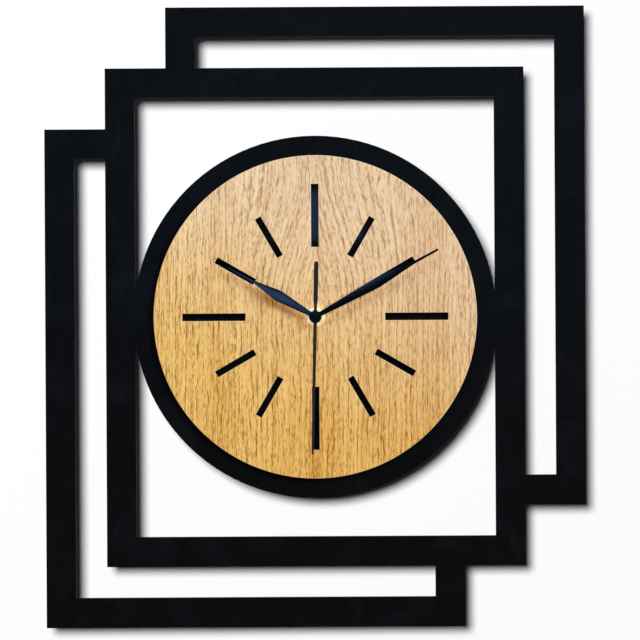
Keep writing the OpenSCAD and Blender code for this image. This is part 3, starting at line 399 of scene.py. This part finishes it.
bmesh.ops.translate(bm, vec=(0, 0, DIAL_FRONT), verts=bm.verts)
back = bmesh.ops.extrude_face_region(bm, geom=bm.faces[:], use_keep_orig=True)["geom"]
back = [v for v in back if isinstance(v, bmesh.types.BMVert)]
bmesh.ops.translate(bm, vec=(0, 0, DIAL_BACK - DIAL_FRONT), verts=back)
bmesh.ops.recalc_face_normals(bm, faces=bm.faces)
break_edges(bm, DIAL_EDGE, angle=60, segments=1)
scorched = bm.verts.layers.float.new("scorched")
for vert in bm.verts:
    in_rim = vert.co.xy.length < SLOT_INNER_R + LONG_SLOT[0] + 1
    vert[scorched] = 1.0 if in_rim and vert.co.z < DIAL_FRONT - 0.05 else 0.0
make_piece(bm, "oak_disc", "clock", oak, "oak_dial")

# %% [markdown]
# ## Black lacquered hands
# Hour and minute hand are stamped from thin sheet and dipped in gloss black. The seconds hand is only
# sprayed, so it looks dull beside them. The cap is tumbled with its lacquer and comes out satin, and its
# blue-black is a painted reflection of blue light. One function makes all three finishes, since only their
# tones and their roughness differ.

# %% Finishes of the hands
def lacquer(name, dark, light, rough, **constants):
    """Lacquer with the faint waviness that it keeps when it dries, over about 4 mm."""
    finish, tree, shader, place = start_finish(name, **constants)
    wave = add_node(tree, "ShaderNodeTexNoise", {"Vector": place, "Scale": 0.25, "Detail": 2.0}).outputs[0]
    tint = add_node(tree, "ShaderNodeMix", {0: wave, 6: linear(dark), 7: linear(light)},
                    data_type="RGBA").outputs[2]
    sheen = add_node(tree, "ShaderNodeMapRange", {"Value": wave, "To Min": rough[0],
                                                  "To Max": rough[1]}).outputs[0]
    wire(tree, shader, tint, sheen, wave, strength=0.1, depth=0.02)
    return finish


# Dipped gloss lacquer on metal: near-black and mirror-like
hand_black = lacquer("dipped_black_lacquer", "#030406", "#06070b", (0.05, 0.09), IOR=1.6)
# Matt lacquer sprayed thinly on aluminium: dull, and a shade greyer
needle_black = lacquer("sprayed_matt_lacquer", "#221b1d", "#281f21", (0.5, 0.6), IOR=1.5,
                       Specular_IOR_Level=0.12)
# Satin lacquer from a tumbling drum: black with a painted blue reflection, and a glint spread over the dome
cap_painted_blue = lacquer("satin_lacquer_painted_blue_reflection", "#090d14", "#0b1018", (0.13, 0.16), IOR=1.6)

# %% [markdown]
# ## Blades
# A press leaves each blade slightly domed. A grid is the quickest blade: its columns are moved out to the
# hand's width and lowered towards its edges, and an extrusion makes the back. A ring is spun around the
# axis for the hub, and then the whole hand is turned to its place on the dial.

# %% Blades
BLADE_T = 0.4
EASE = 1.0


def width_at(stations, r):
    """Width of a blade at a distance from the axis, with its corners eased over 1 mm each way."""
    def straight(s):
        s = min(max(s, stations[0][0]), stations[-1][0])
        for (r0, w0), (r1, w1) in zip(stations, stations[1:]):
            if s <= r1:
                return w0 + (w1 - w0) * (s - r0) / (r1 - r0)
    return (straight(r - EASE) + 2 * straight(r) + straight(r + EASE)) / 4


def add_blade(bm, stations, crown, rows=150):
    """A domed blade along y, from the first station to the last."""
    start, end = stations[0][0], stations[-1][0]
    grid = bmesh.ops.create_grid(bm, x_segments=6, y_segments=rows, size=0.5)["verts"]
    for vert in grid:
        side, r = vert.co.x * 2, start + (end - start) * (vert.co.y + 0.5)
        half = width_at(stations, r) / 2
        vert.co = (side * half, r, BLADE_T / 2 - crown * side * side * half)
    faces = {f for v in grid for f in v.link_faces}
    below = bmesh.ops.extrude_face_region(bm, geom=list(faces), use_keep_orig=True)["geom"]
    for vert in below:
        if isinstance(vert, bmesh.types.BMVert):
            vert.co.z = -BLADE_T / 2
    bmesh.ops.recalc_face_normals(bm, faces=bm.faces)


def turned(bm, outline, steps=72):
    """Spins a closed outline of (radius, height) around the z axis."""
    verts = [bm.verts.new((r, 0, z)) for r, z in outline]
    edges = [bm.edges.new((verts[i - 1], verts[i])) for i in range(len(verts))]
    bmesh.ops.spin(bm, geom=verts + edges, cent=(0, 0, 0), axis=(0, 0, 1), angle=math.tau, steps=steps,
                   use_merge=True)
    bmesh.ops.remove_doubles(bm, verts=bm.verts, dist=0.001)
    bmesh.ops.recalc_face_normals(bm, faces=bm.faces)


def add_hand(name, body, node, finish, angle, height, roll, crown, hub, blades):
    """One hand: blades rolled about their length, a hub, and the angle clockwise from 12."""
    bm = bmesh.new()
    for stations in blades:
        add_blade(bm, stations, crown)
    bmesh.ops.transform(bm, matrix=Matrix.Rotation(math.radians(roll), 4, "Y"), verts=bm.verts)
    hub_r, bore_r = hub
    half = BLADE_T / 2
    turned(bm, [(bore_r, -half), (hub_r, -half), (hub_r, half), (bore_r, half)])
    on_dial = Matrix.Translation((0, 0, height)) @ Matrix.Rotation(math.radians(-angle), 4, "Z")
    bmesh.ops.transform(bm, matrix=on_dial, verts=bm.verts)
    make_piece(bm, name, body, finish, node)


# %% [markdown]
# With those helpers a hand is little more than its stations. Each station is a distance from the axis and the
# blade's width there. Hour and minute hand are lances with a long tip, and the seconds hand is a needle with
# a tail.

# %% Hands
hour_stations = [(2.7, 2.6), (3.5, 2.6), (24, 6.4), (39.5, 1.4), (56, 1.2)]
minute_stations = [(2.3, 2.5), (3.2, 2.5), (40, 5.8), (63, 1.4), (78.7, 1.2)]
second_stations = [(1.2, 2.0), (77, 1.2)]
tail_stations = [(-31, 1.7), (-30.4, 2.5), (-8.5, 2.4), (-7.3, 1.5), (-1.2, 1.9)]
add_hand("hour_blade", "hour", "hour_hand", hand_black, angle=300, height=30.25,
         roll=1.4, crown=0.005, hub=(3.5, 2.92), blades=[hour_stations])
add_hand("minute_blade", "minute", "minute_hand", hand_black, angle=61.5, height=32.25,
         roll=-0.5, crown=0.003, hub=(3.2, 2.02), blades=[minute_stations])
add_hand("second_blade", "second", "second_hand", needle_black, angle=181.4, height=34.25,
         roll=0.0, crown=0.015, hub=(2.2, 0.92), blades=[second_stations, tail_stations])

# %% [markdown]
# ## Collets and cap
# Each hand is pressed on a short tube, the collet, that grips its shaft, and a domed cap closes the seconds
# shaft. They are turned pieces, so an outline spun around the axis makes each of them.

# %% Collets and cap
COLLET_LENGTH, COLLET_EDGE, BORE_EDGE = 1.5, 0.06, 0.1
CAP_R, CAP_BACK, CAP_HEIGHT, CAP_CURVE, CAP_EDGE = 3.4, 35.0, 1.2, 0.008, 0.12
DOME_RINGS = 17

for name, body, node, base, tube_r, bore_r in (
        ("hour_grip", "hour", "hour_collet", 29.5, 2.91, 2.51),
        ("minute_grip", "minute", "minute_collet", 31.5, 2.01, 1.61),
        ("second_grip", "second", "second_collet", 33.5, 0.91, 0.51)):
    bm = bmesh.new()
    turned(bm, [(bore_r, BORE_EDGE), (bore_r + BORE_EDGE, 0), (tube_r - COLLET_EDGE, 0),
                (tube_r, COLLET_EDGE), (tube_r, COLLET_LENGTH - COLLET_EDGE),
                (tube_r - COLLET_EDGE, COLLET_LENGTH), (bore_r, COLLET_LENGTH)])
    bmesh.ops.translate(bm, vec=(0, 0, base), verts=bm.verts)
    make_piece(bm, name, body, hand_black, node)

bm = bmesh.new()
radii = [CAP_R * i / DOME_RINGS for i in range(DOME_RINGS + 1)]
dome = [(r, CAP_HEIGHT - CAP_CURVE * r ** 2) for r in radii]
turned(bm, dome + [(CAP_R, CAP_EDGE), (CAP_R - CAP_EDGE, 0.0), (0.0, 0.0)])
bmesh.ops.translate(bm, vec=(0, 0, CAP_BACK), verts=bm.verts)
make_piece(bm, "hub_cap", "second", cap_painted_blue, "second_cap")

# %% [markdown]
# ## Brass shaft fittings
# The movement's threaded bush comes through the dial, and a washer and a hexagon nut hold it. They are
# turned brass: pale yellow with fine rings from the tool, which noise over the distance from the axis gives.

# %% Finish of the brass
# Turned and left bright: fine concentric tool marks about 0.15 mm apart, drawn at 0.3 mm so that they show.
brass, tree, shader, place = start_finish("turned_brass", Metallic=1.0)
flat_place = add_node(tree, "ShaderNodeMapping", {"Vector": place, "Scale": (1.0, 0.0, 1.0)}).outputs[0]
from_axis = add_node(tree, "ShaderNodeVectorMath", {0: flat_place}, operation="LENGTH").outputs["Value"]
marks = add_node(tree, "ShaderNodeTexNoise", {"W": from_axis, "Scale": 3.3, "Detail": 3.0},
                 noise_dimensions="1D").outputs[0]
tarnish = add_node(tree, "ShaderNodeTexNoise", {"Vector": place, "Scale": 0.35, "Detail": 4.0}).outputs[0]
tone = add_node(tree, "ShaderNodeMix", {0: tarnish, 6: linear("#fdf5dc"), 7: linear("#f6e8c4")},
                data_type="RGBA").outputs[2]
rough = add_node(tree, "ShaderNodeMapRange", {"Value": marks, "To Min": 0.56, "To Max": 0.68}).outputs[0]
wire(tree, shader, tone, rough, marks, strength=0.3, depth=0.03)

# %% [markdown]
# The nut is a hexagon with a round bore: Blender fills between the two outlines, and an extrusion gives it
# height. Washer and bush are spun. Chamfers on the edges in view catch the light and give the bright ring of
# the photo.

# %% Nut, washer and bush
NUT_FLATS, NUT_BACK, NUT_FRONT, NUT_EDGE, NUT_PLAY = 9.1, 26.0, 28.4, 0.3, 0.01
WASHER_R, WASHER_REAR_EDGE, WASHER_FRONT_EDGE = 5.3, 0.1, 0.12
BUSH_R, BUSH_BORE_R, BUSH_FRONT, BUSH_EDGE, BUSH_BORE_EDGE = 3.7, 2.56, 29.0, 0.35, 0.2
FLANGE_R, FLANGE_BACK, FLANGE_FRONT = 5.6, 14.5, 15.2

bm = bmesh.new()
bmesh.ops.create_circle(bm, segments=6, radius=NUT_FLATS / 2 / math.cos(math.radians(30)))
bmesh.ops.create_circle(bm, segments=48, radius=BUSH_R + NUT_PLAY)
bmesh.ops.triangle_fill(bm, use_beauty=True, edges=bm.edges[:], normal=(0, 0, 1))
bmesh.ops.translate(bm, vec=(0, 0, NUT_BACK), verts=bm.verts)
front = bmesh.ops.extrude_face_region(bm, geom=bm.faces[:], use_keep_orig=True)["geom"]
front = [v for v in front if isinstance(v, bmesh.types.BMVert)]
bmesh.ops.translate(bm, vec=(0, 0, NUT_FRONT - NUT_BACK), verts=front)
bmesh.ops.recalc_face_normals(bm, faces=bm.faces)
break_edges(bm, NUT_EDGE, angle=40, segments=3)
make_piece(bm, "hexagon_nut", "clock", brass, "dial_nut")

bm = bmesh.new()
turned(bm, [(SHAFT_HOLE_R, DIAL_FRONT), (WASHER_R - WASHER_REAR_EDGE, DIAL_FRONT),
            (WASHER_R, DIAL_FRONT + WASHER_REAR_EDGE), (WASHER_R, NUT_BACK - WASHER_FRONT_EDGE),
            (WASHER_R - WASHER_FRONT_EDGE, NUT_BACK), (SHAFT_HOLE_R, NUT_BACK)])
make_piece(bm, "flat_washer", "clock", brass, "dial_washer")

bm = bmesh.new()
turned(bm, [(BUSH_BORE_R, FLANGE_BACK), (FLANGE_R, FLANGE_BACK), (FLANGE_R, FLANGE_FRONT),
            (BUSH_R, FLANGE_FRONT), (BUSH_R, BUSH_FRONT - BUSH_EDGE), (BUSH_R - BUSH_EDGE, BUSH_FRONT),
            (BUSH_BORE_R + BUSH_BORE_EDGE, BUSH_FRONT), (BUSH_BORE_R, BUSH_FRONT - BUSH_BORE_EDGE)])
make_piece(bm, "shaft_bush", "clock", brass, "threaded_bush")

# %% [markdown]
# ## Movement case
# Behind the board sits the quartz movement in a moulded black case with a hanger, a battery bay and a
# setting knob. Its plastic has the fine pebble of a spark-eroded mould, and faint streaks where it flowed.

# %% Finish of the case
# Injection-moulded ABS: a half-matt black, with the pebble drawn at 0.5 mm so that it shows.
abs_black, tree, shader, place = start_finish("moulded_black_abs", IOR=1.54, Specular_IOR_Level=0.45)
pebble = add_node(tree, "ShaderNodeTexNoise", {"Vector": place, "Scale": 2.2, "Detail": 2.0,
                                               "Roughness": 0.5}).outputs[0]
flow = add_node(tree, "ShaderNodeTexNoise", {"Vector": place, "Scale": 0.06, "Detail": 3.0,
                                             "Distortion": 0.8}).outputs[0]
tone = add_node(tree, "ShaderNodeMix", {0: flow, 6: linear("#222327"), 7: linear("#2f3136")},
                data_type="RGBA").outputs[2]
rough = add_node(tree, "ShaderNodeMapRange", {"Value": flow, "To Min": 0.36, "To Max": 0.52}).outputs[0]
wire(tree, shader, tone, rough, pebble, strength=0.25, depth=0.1)

# %% [markdown]
# The mould leaves shallow marks in the rear face: a plus and a minus beside the bay, a panel for a label, a
# turning arrow around the knob, and the round marks of the ejector pins. All of them are drawn as one cutter.

# %% Marks of the mould
def box_at(bm, centre, size):
    """A box with the given centre and size."""
    bmesh.ops.create_cube(bm, size=1.0, matrix=Matrix.Translation(centre) @ Matrix.Diagonal((*size, 1)))


# The cutter lies half in the rear face, which is at z = 0, and the arrow turns about the knob's axis
MARK = 0.25
SIGN_X, SIGN_Y, SIGN_LENGTH, SIGN_WIDTH = 21.5, -8.8, 3.6, 0.8
PANEL_CENTRE, PANEL_SIZE = (9, 12, 0), (26, 15, MARK)
EJECTOR_R, EJECTORS = 1.7, [(-23, 23.5), (24, 23.5), (8, -8.8), (-4, -4)]
KNOB = Vector((-17.829, -0.778, 0))
ARC_R, ARC_WIDTH, ARC_ANGLE = 7.3, 0.7, 150
HEAD_R, HEAD_ANGLE = 1.3, 152

marks = bmesh.new()
for x in (-SIGN_X, SIGN_X):
    box_at(marks, (x, SIGN_Y, 0), (SIGN_LENGTH, SIGN_WIDTH, 2 * MARK))
box_at(marks, (-SIGN_X, SIGN_Y, 0), (SIGN_WIDTH, SIGN_LENGTH, 2 * MARK))
box_at(marks, PANEL_CENTRE, PANEL_SIZE)
for x, y in EJECTORS:
    bmesh.ops.create_cone(marks, cap_ends=True, segments=40, radius1=EJECTOR_R, radius2=EJECTOR_R,
                          depth=MARK, matrix=Matrix.Translation((x, y, 0)))
# The turning arrow is an arc spun around the knob, with a three-sided head
bar = bmesh.ops.create_grid(marks, x_segments=1, y_segments=1, size=0.5)["verts"]
upright = Matrix.Rotation(math.radians(90), 4, "X") @ Matrix.Diagonal((ARC_WIDTH, 2 * MARK, 1, 1))
bmesh.ops.transform(marks, matrix=Matrix.Translation(KNOB + Vector((ARC_R, 0, 0))) @ upright, verts=bar)
end_face = bar[0].link_faces[0]
bmesh.ops.spin(marks, geom=[end_face, *end_face.edges, *bar], cent=KNOB, axis=(0, 0, 1),
               angle=math.radians(ARC_ANGLE), steps=30)
swing = Matrix.Rotation(math.radians(HEAD_ANGLE), 4, "Z")
head = Matrix.Translation(KNOB + swing @ Vector((ARC_R, 0, 0))) @ swing
bmesh.ops.create_cone(marks, cap_ends=True, segments=3, radius1=HEAD_R, radius2=HEAD_R, depth=2 * MARK,
                      matrix=head)
bmesh.ops.recalc_face_normals(marks, faces=marks.faces)
bmesh.ops.transform(marks, matrix=HANG, verts=marks.verts)
print("marks to sink:", len(marks.faces), "faces")

# %% [markdown]
# The CAD nodes already have the shape of the shells and the knob, so merged copies of them only need broken
# edges. A Boolean modifier sinks the marks into the case first, and its result is read back as a mesh.

# %% Case, cover and knob
SHELL_EDGE, KNOB_EDGE = 0.12 * MM, 0.1 * MM


def sink(bm, cutter):
    """Cuts one bmesh out of another with a Boolean modifier, and gives back the result."""
    solids = []
    for name, part in (("body", bm), ("cutter", cutter)):
        mesh = bpy.data.meshes.new(name)
        part.to_mesh(mesh)
        part.free()
        solids.append(bpy.data.objects.new(name, mesh))
        bpy.context.scene.collection.objects.link(solids[-1])
    cut = solids[0].modifiers.new("cut", "BOOLEAN")
    cut.operation, cut.solver, cut.object = "DIFFERENCE", "EXACT", solids[1]
    # The bars of the plus cross each other
    cut.use_self = True
    result = bmesh.new()
    result.from_object(solids[0], bpy.context.evaluated_depsgraph_get())
    for solid in solids:
        bpy.data.objects.remove(solid)
    return result


bm = sink(copy_node("movement_case"), marks)
break_edges(bm, SHELL_EDGE, angle=60)
make_piece(bm, "moulded_case", "clock", abs_black, "movement_case", drawn=False)

bm = copy_node("front_cover")
break_edges(bm, SHELL_EDGE, angle=60)
make_piece(bm, "snap_cover", "clock", abs_black, "front_cover", drawn=False)

bm = copy_node("setting_knob")
break_edges(bm, KNOB_EDGE, angle=60, segments=1)
make_piece(bm, "grip_knob", "setting", abs_black, "setting_knob", drawn=False)

# %% [markdown]
# ## Battery cell
# The movement runs on an AA cell: a drawn steel can in a shrunk plastic film. The can is bright nickel, and
# the film a plain two-tone print, which one step along the cell's length divides.

# %% Finishes of the cell
# Nickel-plated drawn steel: bright, with a faint haze.
nickel, tree, shader, place = start_finish("nickel_plate", Metallic=1.0)
haze = add_node(tree, "ShaderNodeTexNoise", {"Vector": place, "Scale": 0.8, "Detail": 4.0}).outputs[0]
tone = add_node(tree, "ShaderNodeMix", {0: haze, 6: linear("#d3d4d2"), 7: linear("#b9bbbb")},
                data_type="RGBA").outputs[2]
rough = add_node(tree, "ShaderNodeMapRange", {"Value": haze, "To Min": 0.2, "To Max": 0.36}).outputs[0]
wire(tree, shader, tone, rough)

# Shrunk printed film: glossy, with the slight ripple that shrinking leaves.
film, tree, shader, place = start_finish("shrunk_film", IOR=1.5)
along = add_node(tree, "ShaderNodeSeparateXYZ", {0: place}).outputs["X"]
band = add_node(tree, "ShaderNodeMapRange", {"Value": along, "From Min": -13.1,
                                             "From Max": -12.9}).outputs[0]
tone = add_node(tree, "ShaderNodeMix", {0: band, 6: linear("#b9803c"), 7: linear("#2d3b35")},
                data_type="RGBA").outputs[2]
ripple = add_node(tree, "ShaderNodeTexNoise", {"Vector": place, "Scale": 0.3, "Detail": 3.0}).outputs[0]
rough = add_node(tree, "ShaderNodeMapRange", {"Value": ripple, "To Min": 0.18, "To Max": 0.34}).outputs[0]
wire(tree, shader, tone, rough, ripple, strength=0.2, depth=0.1)

# %% [markdown]
# The can has a raised nub at one end and a rolled rim at the other, and the film curls over both shoulders.
# Each end is a short outline of radius and distance from that end. The outlines are spun, and the frame's own
# box of the cell says where to lay it.

# %% Cell
NUB_END = [(0, 0), (1.6, 0), (2.5, 0.12), (2.72, 0.4), (2.75, 1.2), (4.4, 1.22), (5.2, 1.55), (6.3, 1.35),
           (6.9, 1.6), (7.03, 2.0)]
FLAT_END = [(7.03, 0.7), (6.8, 0.25), (6.2, 0.2), (5.9, 0.45), (4.6, 0.4), (4.2, 0.02), (3.9, 0), (0, 0)]
FILM_END = [(7.05, 0.3), (7.12, 0.05), (7.2, 0), (7.25, 0.3)]

low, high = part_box("cell_can")
middle = (low + high) / 2 / MM
lay = Matrix.Translation((0, middle.z, -middle.y)) @ Matrix.Rotation(math.radians(90), 4, "Y")
bm = bmesh.new()
left = [(r, low.x / MM + d) for r, d in NUB_END]
right = [(r, high.x / MM - d) for r, d in FLAT_END]
turned(bm, left + right, steps=96)
bmesh.ops.transform(bm, matrix=lay, verts=bm.verts)
make_piece(bm, "drawn_can", "cell", nickel, "cell_can")

low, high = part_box("cell_sleeve")
bm = bmesh.new()
left = [(r, low.x / MM + d) for r, d in FILM_END]
right = [(r, high.x / MM - d) for r, d in reversed(FILM_END)]
turned(bm, left + right, steps=96)
bmesh.ops.transform(bm, matrix=lay, verts=bm.verts)
make_piece(bm, "printed_film", "cell", film, "cell_sleeve")

# %% [markdown]
# ## Pieces that keep their CAD shape
# The gasket, the wheels and the motor are right as they are: only their finish is added. Wheels are moulded
# acetal, shafts drawn steel, the coil is enamelled copper, and so on. Each of these new finishes has a small
# grain of its own, and one function makes them all.

# %% Finishes of the inner pieces
def grained(name, light, dark, size, rough, depth=0.0, stretch=(1, 1, 1), **constants):
    """A finish whose colour and roughness vary over grains of a size in millimetres."""
    finish, tree, shader, place = start_finish(name, **constants)
    scale = [s / size for s in stretch]
    scaled = add_node(tree, "ShaderNodeMapping", {"Vector": place, "Scale": scale}).outputs[0]
    grain = add_node(tree, "ShaderNodeTexNoise", {"Vector": scaled, "Scale": 1.0, "Detail": 4.0}).outputs[0]
    tone = add_node(tree, "ShaderNodeMix", {0: grain, 6: linear(light), 7: linear(dark)},
                    data_type="RGBA").outputs[2]
    spread = add_node(tree, "ShaderNodeMapRange", {"Value": grain, "To Min": rough[0],
                                                   "To Max": rough[1]}).outputs[0]
    wire(tree, shader, tone, spread, grain if depth else None, depth=depth)
    return finish


rubber = grained("moulded_rubber", "#2b2b2d", "#1b1b1d", 0.6, (0.7, 0.9), 0.08, IOR=1.52)
acetal = grained("moulded_acetal", "#efe9dc", "#e0d8c6", 1.5, (0.35, 0.5), 0.02, IOR=1.48)
blue_acetal = grained("moulded_blue_acetal", "#4a78b5", "#38619b", 1.5, (0.35, 0.5), 0.02, IOR=1.48)
steel = grained("drawn_steel", "#c9cbcd", "#a9acb0", 0.4, (0.22, 0.4), stretch=(1, 0.05, 1), Metallic=1.0)
ferrite = grained("sintered_ferrite", "#54565a", "#3a3c40", 0.3, (0.5, 0.7), 0.05, Metallic=0.6)
motor_steel = grained("blanked_motor_steel", "#9a9da1", "#7f8387", 0.5, (0.3, 0.5), stretch=(0.2, 1, 1),
                      Metallic=1.0)
nylon = grained("moulded_nylon", "#e2dbc9", "#cfc6b0", 1.2, (0.4, 0.6), 0.03, IOR=1.53)
copper = grained("enamelled_copper_wire", "#c9743a", "#8f4a1e", 0.25, (0.25, 0.4), 0.06,
                 stretch=(1, 0.1, 0.1), Metallic=0.9)
laminate = grained("glass_laminate", "#2f7a45", "#215c33", 0.7, (0.3, 0.5), 0.03, IOR=1.55)
resin = grained("cast_black_resin", "#161616", "#0c0c0c", 2.0, (0.12, 0.3), 0.04, IOR=1.55)

# %% [markdown]
# A CAD object must keep its mesh, but its material slots are free. So each finish is put into the slots of
# the nodes that are made of it.

# %% Inner pieces
kept_shapes = {
    rubber: ["gasket"],
    acetal: ["hour_wheel", "centre_wheel", "second_wheel", "third_wheel", "intermediate_wheel",
             "motion_wheel", "setting_pinion"],
    blue_acetal: ["rotor_pinion"],
    brass: ["minute_tube"],
    steel: ["clutch_spring", "second_arbor", "third_arbor", "intermediate_arbor"],
    ferrite: ["rotor_magnet"],
    motor_steel: ["stator", "coil_core"],
    nylon: ["coil_bobbin"],
    copper: ["coil_winding", "coil_leads"],
    laminate: ["circuit_board"],
    resin: ["chip"],
    nickel: ["quartz_crystal", "contact_positive", "contact_negative"],
}
for finish, names in kept_shapes.items():
    for name in names:
        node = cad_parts[name]
        for slot in node.material_slots:
            slot.material = finish
print(sum(len(names) for names in kept_shapes.values()), "CAD nodes keep their shape")

# %% [markdown]
# ## Wall
# The clock hangs on a white wall, which is where its narrow shadow falls. Seen from behind, the wall is
# clear, so that the back of the clock can be studied. Further out it fades into the white surroundings.

# %% Wall
WALL_HALF, WALL_Y = 1.0, 0.0003
FADE_START, FADE_END = 0.5, 1.0


def add_sheet(name, half_side, y):
    """A square upright sheet standing at y."""
    bm = bmesh.new()
    upright = Matrix.Translation((0, y, 0)) @ Matrix.Rotation(math.radians(90), 4, "X")
    bmesh.ops.create_grid(bm, x_segments=1, y_segments=1, size=half_side, matrix=upright)
    mesh = bpy.data.meshes.new(name)
    bm.to_mesh(mesh)
    bm.free()
    sheet = bpy.data.objects.new(name, mesh)
    bpy.context.scene.collection.objects.link(sheet)
    print("sheet", name)
    return sheet


wall = add_sheet("white_wall", WALL_HALF, WALL_Y)
wall.visible_shadow = False
wall.visible_diffuse = False

# Matt emulsion: white, with no highlight
paint = bpy.data.materials.new("white_wall_paint")
paint.use_nodes = True
tree = paint.node_tree
tree.nodes.clear()
white = add_node(tree, "ShaderNodeBsdfDiffuse", {"Color": linear("#fcfcfc")}).outputs[0]
clear = add_node(tree, "ShaderNodeBsdfTransparent").outputs[0]
behind = add_node(tree, "ShaderNodeNewGeometry").outputs["Backfacing"]
place = add_node(tree, "ShaderNodeTexCoord").outputs["Object"]
away = add_node(tree, "ShaderNodeVectorMath", {0: place}, operation="LENGTH").outputs["Value"]
fade = add_node(tree, "ShaderNodeMapRange", {"Value": away, "From Min": FADE_START, "From Max": FADE_END},
                interpolation_type="SMOOTHSTEP").outputs[0]
open_part = add_node(tree, "ShaderNodeMath", {0: behind, 1: fade}, operation="MAXIMUM").outputs[0]
either = add_node(tree, "ShaderNodeMixShader", {0: open_part, 1: white, 2: clear}).outputs[0]
add_node(tree, "ShaderNodeOutputMaterial", {"Surface": either})
wall.data.materials.append(paint)

# %% [markdown]
# ## Lamps
# In the photo the wall's shadow and the hands' shadows fall different ways, so the wall has a lamp of its
# own, high on the left, and light linking keeps it off the clock. A cool strip stands at the right in line
# with the minute hand: that hand's shadow stays under it, while the hour hand throws a soft one to its lower
# left. A cool window above shades the minute hand's lower side. Only the two hands and the dial cast the
# shadows of strip and window, because the hub would throw a streak. A warm lamp on the camera's axis fills
# those shadows with orange. Two more lamps light the clock's back, and a small blue card is what the glossy
# blacks mirror.

# %% Lamps
only_wall = bpy.data.collections.new("wall_receives")
only_wall.objects.link(wall)
not_wall = bpy.data.collections.new("all_but_the_wall")
not_wall.objects.link(wall)
not_wall.collection_objects[0].light_linking.link_state = "EXCLUDE"
shading = bpy.data.collections.new("pieces_that_shade")
for name in ("hour_blade", "minute_blade", "oak_disc"):
    shading.objects.link(bpy.data.objects[name])


def add_lamp(name, towards, off_axis, reach, size, level, colour, lights, shape="ELLIPSE", shaded_by=None):
    """A lamp swung off the dial axis towards a clock direction, its first side along the swing.

    At a level of 1 a lamp on the axis alone would make a white dial look white.
    """
    data = bpy.data.lights.new(name, "AREA")
    data.shape = shape
    data.size, data.size_y = size
    data.energy = level * math.pi ** 2 * reach ** 2
    data.color = colour
    lamp = bpy.data.objects.new(name, data)
    facing = Matrix.Translation((0, -reach, 0)) @ Matrix.Rotation(math.radians(90), 4, "X")
    swing = Matrix.Rotation(math.radians(off_axis), 4, "Z")
    lamp.matrix_world = Matrix.Rotation(math.radians(towards - 90), 4, "Y") @ swing @ facing
    bpy.context.scene.collection.objects.link(lamp)
    lamp.light_linking.receiver_collection = lights
    lamp.light_linking.blocker_collection = shaded_by
    print("lamp", name, round(data.energy, 2), "W")
    return lamp


white_light = (1.0, 1.0, 1.0)
cool_light = (0.69, 0.92, 1.0)
sky_light = (0.57, 0.77, 1.0)
warm_light = (1.0, 0.56, 0.29)
card_blue = (0.21, 0.46, 1.0)
add_lamp("wall_lamp", towards=315, off_axis=14, reach=6.0, size=(1.76, 1.76),
         level=1.05, colour=white_light, lights=only_wall)
add_lamp("strip_lamp", towards=61.5, off_axis=52, reach=4.0, size=(2.0, 0.6),
         level=0.77, colour=cool_light, lights=not_wall, shaded_by=shading)
add_lamp("window", towards=354, off_axis=42, reach=1.9, size=(1.0, 1.0),
         level=0.44, colour=sky_light, lights=not_wall, shaded_by=shading)
front_lamp = add_lamp("front_lamp", towards=0, off_axis=0, reach=2.6, size=(0.3, 0.3),
                      level=0.4, colour=warm_light, lights=not_wall)
front_lamp.visible_glossy = False
front_lamp.visible_camera = False
add_lamp("rear_left_lamp", towards=41, off_axis=139, reach=2.5, size=(1.2, 1.2),
         level=0.75, colour=white_light, lights=not_wall)
add_lamp("rear_right_lamp", towards=287, off_axis=134, reach=2.5, size=(1.2, 1.2),
         level=0.4, colour=white_light, lights=not_wall)
# The blue card lights no matt surface, so it shows only in gloss
blue_card = add_lamp("blue_card", towards=0, off_axis=3, reach=2.2, size=(0.054, 0.1),
                     level=0.0008, colour=card_blue, lights=not_wall, shape="RECTANGLE")
blue_card.visible_diffuse = False

# %% [markdown]
# ## Black flag
# Gloss that faces the viewer mirrors what is behind the camera. A photographer hangs a black cloth there, a
# flag, so that black pieces stay black. Only reflections see it.

# %% Black flag
FLAG_HALF, FLAG_Y = 1.6, -3.3

flag = add_sheet("black_flag", FLAG_HALF, FLAG_Y)
flag.visible_camera = False
flag.visible_diffuse = False
flag.visible_shadow = False
flag.visible_transmission = False
# Velvet: its pile swallows the light, so it has no highlight
velvet = bpy.data.materials.new("black_velvet")
velvet.use_nodes = True
shader = velvet.node_tree.nodes["Principled BSDF"]
shader.inputs["Base Color"].default_value = linear("#050505")
shader.inputs["Specular IOR Level"].default_value = 0.0
flag.data.materials.append(velvet)

# %% [markdown]
# ## Surroundings
# Camera and reflections see a plain white studio. As a light it is almost off, so that it can't wash out
# the shadows that the lamps make.

# %% Surroundings
world = bpy.data.worlds.new("studio")
bpy.context.scene.world = world
world.use_nodes = True
tree = world.node_tree
tree.nodes.clear()
ray = add_node(tree, "ShaderNodeLightPath").outputs
seen = add_node(tree, "ShaderNodeMath", {0: ray["Is Camera Ray"], 1: ray["Is Glossy Ray"]},
                operation="MAXIMUM").outputs[0]
seen = add_node(tree, "ShaderNodeMath", {0: seen, 1: ray["Is Transmission Ray"]},
                operation="MAXIMUM").outputs[0]
strength = add_node(tree, "ShaderNodeMapRange", {"Value": seen, "To Min": 0.02, "To Max": 1.0}).outputs[0]
light = add_node(tree, "ShaderNodeBackground", {"Color": linear("#fbfcfd"),
                                                "Strength": strength}).outputs[0]
add_node(tree, "ShaderNodeOutputWorld", {"Surface": light})
bpy.context.scene.view_settings.view_transform = "Standard"
print("surroundings", world.name)
